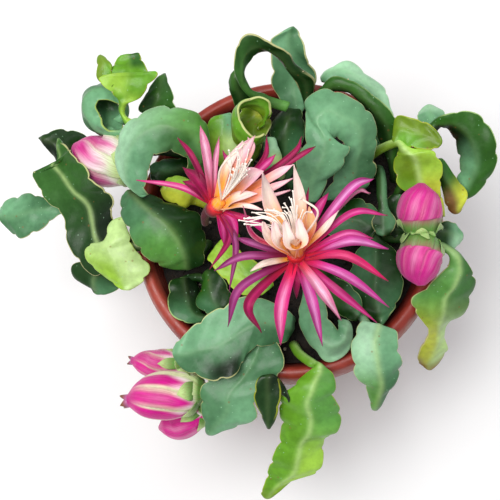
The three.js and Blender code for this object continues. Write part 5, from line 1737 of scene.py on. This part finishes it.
@dataclass
class Bud:
    """A closed bud of lapped petals on a short green foot."""

    name: str
    plan: BudPlan
    fullness: Row = (0.44, 0.86, 1.0, 1.0, 0.77, 0.18)
    sides: int = 112
    rings: int = 52
    laps: int = 7
    lap_depth: float = 0.08
    twist: float = 0.8
    tip_line: tuple[Row, ...] = ((-0.45, 0.16), (0.22, 0.3))
    tip_width: float = 0.45
    tip_turn: float = 0.6
    scales: int = 5
    scale_width: float = 0.8

    def _tones(self, around: Array, share: Array) -> Array:
        """Colours of the lapped petals.

        Args:
            around: places around the bud, in petals.
            share: places along the bud, from 0 at its foot to 1 at its tip.

        Returns:
            Linear colours.
        """
        lap = around - np.floor(around)
        whim = 0.5 + 0.5 * np.sin(2.7 * np.floor(around) + self.plan.radius)
        pale, band = self.plan.pale * (0.8 + 0.4 * whim), self.plan.band * (0.45 + 0.6 * whim)
        white = mix(Tone.PALE.linear, Hue.ORCHID.linear[1], smoothstep(share, pale * 0.3, pale * 0.8))
        middle = np.exp(-(((lap - 0.5) / 0.2) ** 2))
        reach = smoothstep(share, pale * 0.6 - 0.12 * middle, pale + 0.18 - 0.2 * middle)
        colour = mix(white, Hue.ORCHID.linear[0], reach)
        edge = smoothstep(np.abs(lap - 0.5), 0.14 + 0.18 * whim, 0.46) * (1 - smoothstep(share, 0.6, 0.95))
        colour = mix(colour, mix(Tone.PALE.linear, Tone.CREAM.linear, share), edge * band)
        # Painted highlight: a soft pale pink sheen down the middle of each lapped petal, strongest where
        # its edges are least pale.
        middle = middle * smoothstep(share, 0.3, 0.5) * (1 - smoothstep(share, 0.6, 0.9))
        colour = mix(colour, Hue.PALE.linear[1], middle * 0.3 * (1 - band))
        return mix(colour, Tone.GREEN.linear, 1 - smoothstep(share, self.plan.green * 0.5, self.plan.green))

    def build(self, finish: Material) -> None:
        """Make and dress the bud.

        Args:
            finish: its material.
        """
        foot, base, waist, tip = (place(row) for row in self.plan.line)
        radius = self.plan.radius
        points = [foot, base, (base + waist) / 2, waist, waist * 0.45 + tip * 0.55, tip]
        radii = [radius * full for full in self.fullness]
        rings, share, angle = round_body(points, radii, self.sides, self.rings)
        centre = rings.mean(axis=1, keepdims=True)
        around = -angle / (2 * np.pi) * self.laps + self.twist * share * 2
        lap = around - np.floor(around)
        step = self.lap_depth * (lap ** 0.8 - 0.5) * np.sin(np.pi * share)
        rings = centre + (rings - centre) * (1 + step)[..., None]
        shells = Shells()
        shells.add(rings, self._tones(around, share), stacked(lap * 2, share * 3, np.floor(around)))
        along = unit(tip - waist)
        for out in spokes(along, self.plan.tips, self.tip_turn * self.plan.tips / (2 * np.pi)):
            start, end = (tip + radius * (along * level + out * reach) for level, reach in self.tip_line)
            petal = Petal(start, (start + end) / 2, end, radius * self.tip_width, -out, rings=10)
            petal.build(shells, ramp_tones(Hue.MAUVE.linear[1], Tone.BROWN, 0.45), 1.0)
        self._add_scales(shells, foot, base, waist)
        dress(shells.mesh(f"striped_{self.name}"), finish, (self.name,))

    def _add_scales(self, shells: Shells, foot: Array, base: Array, waist: Array) -> None:
        """Small green scales that lie on the bud's foot.

        Args:
            shells: the bud's skins.
            foot: where the bud starts.
            base: where it widens.
            waist: where it is widest.
        """
        along = unit(waist - foot)
        radius = self.plan.radius
        reach = np.linalg.norm(waist - foot)
        for out in spokes(along, self.scales, 0.35):
            start = foot + along * reach * 0.02 + out * radius * 0.1
            middle = base + (base - foot) * 0.1 + out * radius * 0.92
            end = foot + along * reach * 0.55 + out * radius * 1.04
            width = radius * self.scale_width
            scale = Petal(start, middle, end, width, out, rings=14, channel=-0.14, ripple=0.1)
            scale.build(shells, ramp_tones(Tone.GREEN.linear, Tone.PALE, 0.3), 2.0)


# ---- pot and soil
def turned(profile: Sequence[Row], sides: int) -> Array:
    """Turn a profile round the pot's axis.

    Args:
        profile: radii and heights.
        sides: the number of sides.

    Returns:
        Points, sides x profile points x 3.
    """
    angle = 2 * np.pi * np.arange(sides)[:, None] / sides
    radii, heights = np.array(profile).T
    return stacked(np.cos(angle) * radii, np.sin(angle) * radii, heights)


def turned_mesh(name: str, grid: Array) -> Mesh:
    """Make a mesh over turned points.

    Args:
        name: the mesh's name.
        grid: the points, sides x profile points x 3.

    Returns:
        The mesh.
    """
    sides, count = grid.shape[:2]
    faces = []
    for i in range(sides):
        here, after = i * count, (i + 1) % sides * count
        faces += [(here + j, after + j, after + j + 1, here + j + 1) for j in range(count - 1)]
    data = bpy.data.meshes.new(name)
    data.from_pydata((grid.reshape(-1, 3) * MM).tolist(), [], faces)
    return data


@dataclass
class Pot:
    """The round plastic pot: its sizes in millimetres.

    The skirt, the collar and the mouth are points of the section, so far in from their radius and
    so far down from the rim.
    """

    mouth_radius: float = 115.0
    collar_radius: float = 125.0
    skirt_radius: float = 127.0
    collar_drop: float = 22.0
    foot_radius: float = 84.0
    wall: float = 3.0
    floor: float = 4.0
    sides: int = 160
    groove_pitch: float = 6.0
    groove_depth: float = 0.7
    skirt: tuple[Row, ...] = ((3.4, 9), (2.8, 21.6), (2.4, 22), (0.3, 22), (0, 21.5), (0.5, 12), (1.2, 8))
    collar: tuple[Row, ...] = ((0.2, 4.6), (1.2, 2.2), (3, 0.8), (5.2, 0.1), (7.4, 0.1))
    mouth: tuple[Row, ...] = ((-1.6, 0.9), (-0.3, 2.6))

    def inner_radius(self, height: float) -> float:
        """Radius of the inner wall at a height."""
        share = height / RIM_HEIGHT
        return (self.foot_radius - self.wall) * (1 - share) + self.mouth_radius * share

    def _profile(self) -> tuple[list[Row], list[int]]:
        """The pot's section, and which of its points are inside.

        Returns:
            Radii and heights, and 1 for each point of the inner wall.
        """
        top, skirt = RIM_HEIGHT, RIM_HEIGHT - self.collar_drop
        outer = [(0, 0), (60, 0), (self.foot_radius - 3, 0), (self.foot_radius - 0.7, 0.4)]
        outer += [(self.foot_radius, 2.5)]
        heights = (10, 30, 60, 90, 120, 150, skirt - 2, top - 9)
        outer += [(self.inner_radius(z) + self.wall, z) for z in heights]
        for radius, steps in ((self.skirt_radius, self.skirt), (self.collar_radius, self.collar),
                              (self.mouth_radius, self.mouth)):
            outer += [(radius - less, top - drop) for less, drop in steps]
        inner = []
        height = top - 6.0
        while height > SOIL_TOP - 12:
            for step, share in ((0.0, 0.0), (1.0, 1.0), (2.0, 1.0), (3.0, 0.0)):
                z = height - step
                inner.append((self.inner_radius(z) - self.groove_depth * share, z))
            height -= self.groove_pitch
        inner += [(self.inner_radius(z), z) for z in (120, 60, self.floor + 3)]
        inner += [(self.inner_radius(self.floor) - 2, self.floor), (0, self.floor)]
        return outer + inner, [0] * len(outer) + [1] * len(inner)

    def build(self, finish: Material, plastic: "PlasticFinish") -> None:
        """Make and dress the pot.

        Args:
            finish: its material.
            plastic: the colours that its outside and inside take.
        """
        profile, inside = self._profile()
        data = turned_mesh("moulded_pot", turned(profile, self.sides))
        # The inside of the pot takes the darker colour, painted shade.
        tones = np.array([to_linear(plastic.colour), to_linear(plastic.inside)])
        set_tones(data, np.tile(tones[inside], (self.sides, 1)))
        piece = linked("moulded_pot", data)
        tidy_mesh(data)
        dress(piece, finish, ("pot",))


def tidy_mesh(data: Mesh, merge: float = 1e-6, crease: float = 40.0) -> None:
    """Merge doubles, point the faces outwards and shade them smooth.

    Args:
        data: the mesh.
        merge: the distance within which vertices are one, in metres.
        crease: the angle from which an edge stays sharp, in degrees.
    """
    work = bmesh.new()
    work.from_mesh(data)
    bmesh.ops.remove_doubles(work, verts=work.verts, dist=merge)
    bmesh.ops.dissolve_degenerate(work, edges=work.edges, dist=merge)
    bmesh.ops.recalc_face_normals(work, faces=work.faces)
    for face in work.faces:
        face.smooth = True
    work.to_mesh(data)
    work.free()
    data.set_sharp_from_angle(angle=math.radians(crease))


@dataclass
class Soil:
    """The soil in the pot, strewn with crumbs and pale grit."""

    pot: Pot
    gap: float = 0.5
    lift: float = 0.3
    bump: float = 2.5
    rings: int = 40
    sides: int = 96
    bare_edge: float = 4.0
    crumb_size: float = 1.5
    crumbs_per_area: float = 60000.0
    grit_size: float = 1.1
    grit_per_area: float = 2600.0

    def build(self, finish: Material) -> None:
        """Make and dress the soil.

        Args:
            finish: its material.
        """
        low = self.pot.floor + self.lift
        wide = self.pot.inner_radius(SOIL_TOP) - self.gap - self.pot.groove_depth
        share = np.linspace(0, 1, self.rings)[::-1]
        profile = [(0.0, low), (self.pot.inner_radius(low) - 3, low)]
        profile += [(wide - 3, SOIL_TOP - 30), (wide, SOIL_TOP - 3), *((wide * s, SOIL_TOP) for s in share)]
        grid = turned(profile, self.sides)
        x, y, z = grid[..., 0], grid[..., 1], grid[..., 2]
        grid[..., 2] = z + np.where(z > SOIL_TOP - 1, self._lumps(x, y), 0)
        data = turned_mesh("peaty_soil", grid)
        piece = linked("peaty_soil", data)
        tidy_mesh(data)
        dress(piece, finish, ("soil",))

    def strew(self, finish: Material, grit: Material) -> None:
        """Strew crumbs and pale grit over the soil.

        Args:
            finish: the crumbs' material.
            grit: the grit's material.
        """
        grower = CrumbGrower()
        for name, size, density, seed, material in (
            ("soil_crumbs", self.crumb_size, self.crumbs_per_area, SEED, finish),
            ("pale_grit", self.grit_size, self.grit_per_area, SEED + 1, grit),
        ):
            sizes = {"Size": size * MM, "Density": density, "Seed": seed}
            dress(grower.grow(name, self._bed(name), sizes, material), material)

    def _bed(self, name: str) -> Mesh:
        """A round net over the soil that crumbs are strewn on."""
        reach = self.pot.inner_radius(SOIL_TOP) - self.bare_edge
        grid = turned([(reach * share, SOIL_TOP) for share in np.linspace(0.02, 1, 12)], 36)
        grid[..., 2] += self._lumps(grid[..., 0], grid[..., 1])
        return turned_mesh(name, grid)

    def _lumps(self, x: Array, y: Array) -> Array:
        """Height of the soil's lumps at places on it."""
        lumps = np.sin(x * 0.11 + 1) * np.cos(y * 0.13) + 0.5 * np.sin(x * 0.23 - y * 0.19)
        fine = 0.35 * np.sin(x * 0.61 + 2 * np.sin(y * 0.37)) * np.cos(y * 0.53)
        return self.bump * lumps + fine * 1.6


# ---- studio
@dataclass
class Studio:
    """Camera, pale floor and soft lights. The camera's eye is in millimetres, the rest in metres."""

    focal_px: float = 1002.7
    sensor: float = 36.0
    frame_px: float = 500.0
    eye: Row = (38.75, -202.24, 977.68)
    forward: Row = (-0.08494, 0.22414, -0.97085)
    above: Row = (0.01953, 0.97456, 0.22329)
    floor_half: float = 4.0
    floor_colour: Row = (0.92, 0.92, 0.92, 1.0)
    sky: Row = (0.94, 0.96, 1.0, 1.0)
    sky_strength: float = 0.42
    aim: Row = (0.0, 0.0, 0.2)

    def _camera(self) -> None:
        """Put the camera where it sees the plant from above."""
        data = bpy.data.cameras.new("camera")
        data.sensor_width = self.sensor
        data.lens = self.sensor * self.focal_px / self.frame_px
        data.clip_start = 0.01
        camera = linked("camera", data)
        ahead, up = Vector(self.forward).normalized(), Vector(self.above).normalized()
        right = ahead.cross(up)
        turn = Matrix((right, up, -ahead)).transposed().to_4x4()
        camera.matrix_world = Matrix.Translation(Vector(self.eye) * MM) @ turn
        bpy.context.scene.camera = camera

    def _floor(self) -> None:
        """Lay the plain pale floor."""
        half = self.floor_half
        data = bpy.data.meshes.new("floor")
        corners = ((-1, -1), (1, -1), (1, 1), (-1, 1))
        data.from_pydata([(half * x, half * y, 0) for x, y in corners], [], [(0, 1, 2, 3)])
        material, _, shader = new_material("pale_floor")
        shader.inputs["Base Color"].default_value = self.floor_colour
        shader.inputs["Roughness"].default_value = 0.9
        data.materials.append(material)
        linked("floor", data)

    def _light(self, name: str, at: Row, size: float, power: float, tint: Row) -> None:
        """Hang a soft square light that looks at the plant.

        Args:
            name: the light's name.
            at: its place in metres.
            size: its side in metres.
            power: its power in watts.
            tint: its colour.
        """
        data = bpy.data.lights.new(name, "AREA")
        data.size, data.energy, data.color = size, power, tint
        light = linked(name, data)
        light.location = at
        light.rotation_euler = (Vector(at) - Vector(self.aim)).to_track_quat("Z", "Y").to_euler()

    def build(self) -> None:
        """Set up the camera, the floor, the lights and the pale surroundings."""
        self._camera()
        self._floor()
        self._light("key", at=(-0.45, -0.1, 1.9), size=1.15, power=31.0, tint=(1.0, 0.99, 0.97))
        self._light("fill", at=(0.9, 1.3, 1.3), size=1.4, power=9.0, tint=(0.97, 0.98, 1.0))
        world = bpy.data.worlds.new("surroundings")
        world.use_nodes = True
        sky = world.node_tree.nodes["Background"].inputs
        sky["Color"].default_value, sky["Strength"].default_value = self.sky, self.sky_strength
        bpy.context.scene.world = world
        bpy.context.scene.view_settings.view_transform = "Standard"


def main() -> None:
    """Build the studio and every piece of the plant."""
    logging.basicConfig(level=logging.INFO, format="%(name)s: %(message)s")
    Studio().build()
    plastic = PlasticFinish("terracotta_plastic")
    stems = {
        Slot.BLUISH: StemFinish("waxy_stem", wax_and_sheen=0.14),
        Slot.GREEN: StemFinish("green_stem", wax_and_sheen=0.06),
        Slot.DARK: StemFinish("shaded_stem", wax_and_sheen=0.02, margin=Tone.PALE, coat=0.06),
        Slot.LIME: StemFinish("sunlit_stem", wax_and_sheen=0.04, margin=Tone.GOLD, coat=0.12, edge_share=0.5),
    }
    finishes = {slot: finish.material() for slot, finish in stems.items()}
    pot = Pot()
    pot.build(plastic.material(), plastic)
    soil, peat = Soil(pot), CrumbFinish("peat").material()
    soil.build(peat)
    soil.strew(peat, CrumbFinish("grit", (0.45, 0.42, 0.36), (0.80, 0.76, 0.68)).material())
    notches = []
    for name, (slot, blades) in STEMS.items():
        notches.extend(FlatStem(name, slot, blades).build(finishes))
    spots = bpy.data.meshes.new("notches")
    spots.from_pydata([tuple(point * MM) for point in notches], [], [])
    wool = CrumbFinish("areole_wool", (0.62, 0.54, 0.38), (0.86, 0.80, 0.66)).material()
    tufts = AreoleGrower().grow("woolly_areoles", spots, {"Seed": SEED}, wool)
    dress(tufts, wool)
    outer = PetalFinish("magenta_petal", Tone.CRIMSON).material()
    inner = PetalFinish("cream_petal", Tone.BLUSH, line_share=0.25).material()
    style = PetalFinish("style", Tone.BLUSH, line_share=0.15).material()
    thread = ThreadFinish("thread").material()
    grower = ThreadGrower()
    skin = PetalFinish("bud_skin", Tone.CRIMSON, line_share=0.3, roughness=0.4).material()
    for name, plan in BLOOMS.items():
        bloom = Bloom(name, plan)
        bloom.build_outer(outer)
        bloom.build_inner(inner)
        bloom.build_stamens(grower, thread, style)
    for name, plan in BUDS.items():
        Bud(name, plan).build(skin)


if __name__ == "__main__":
    main()
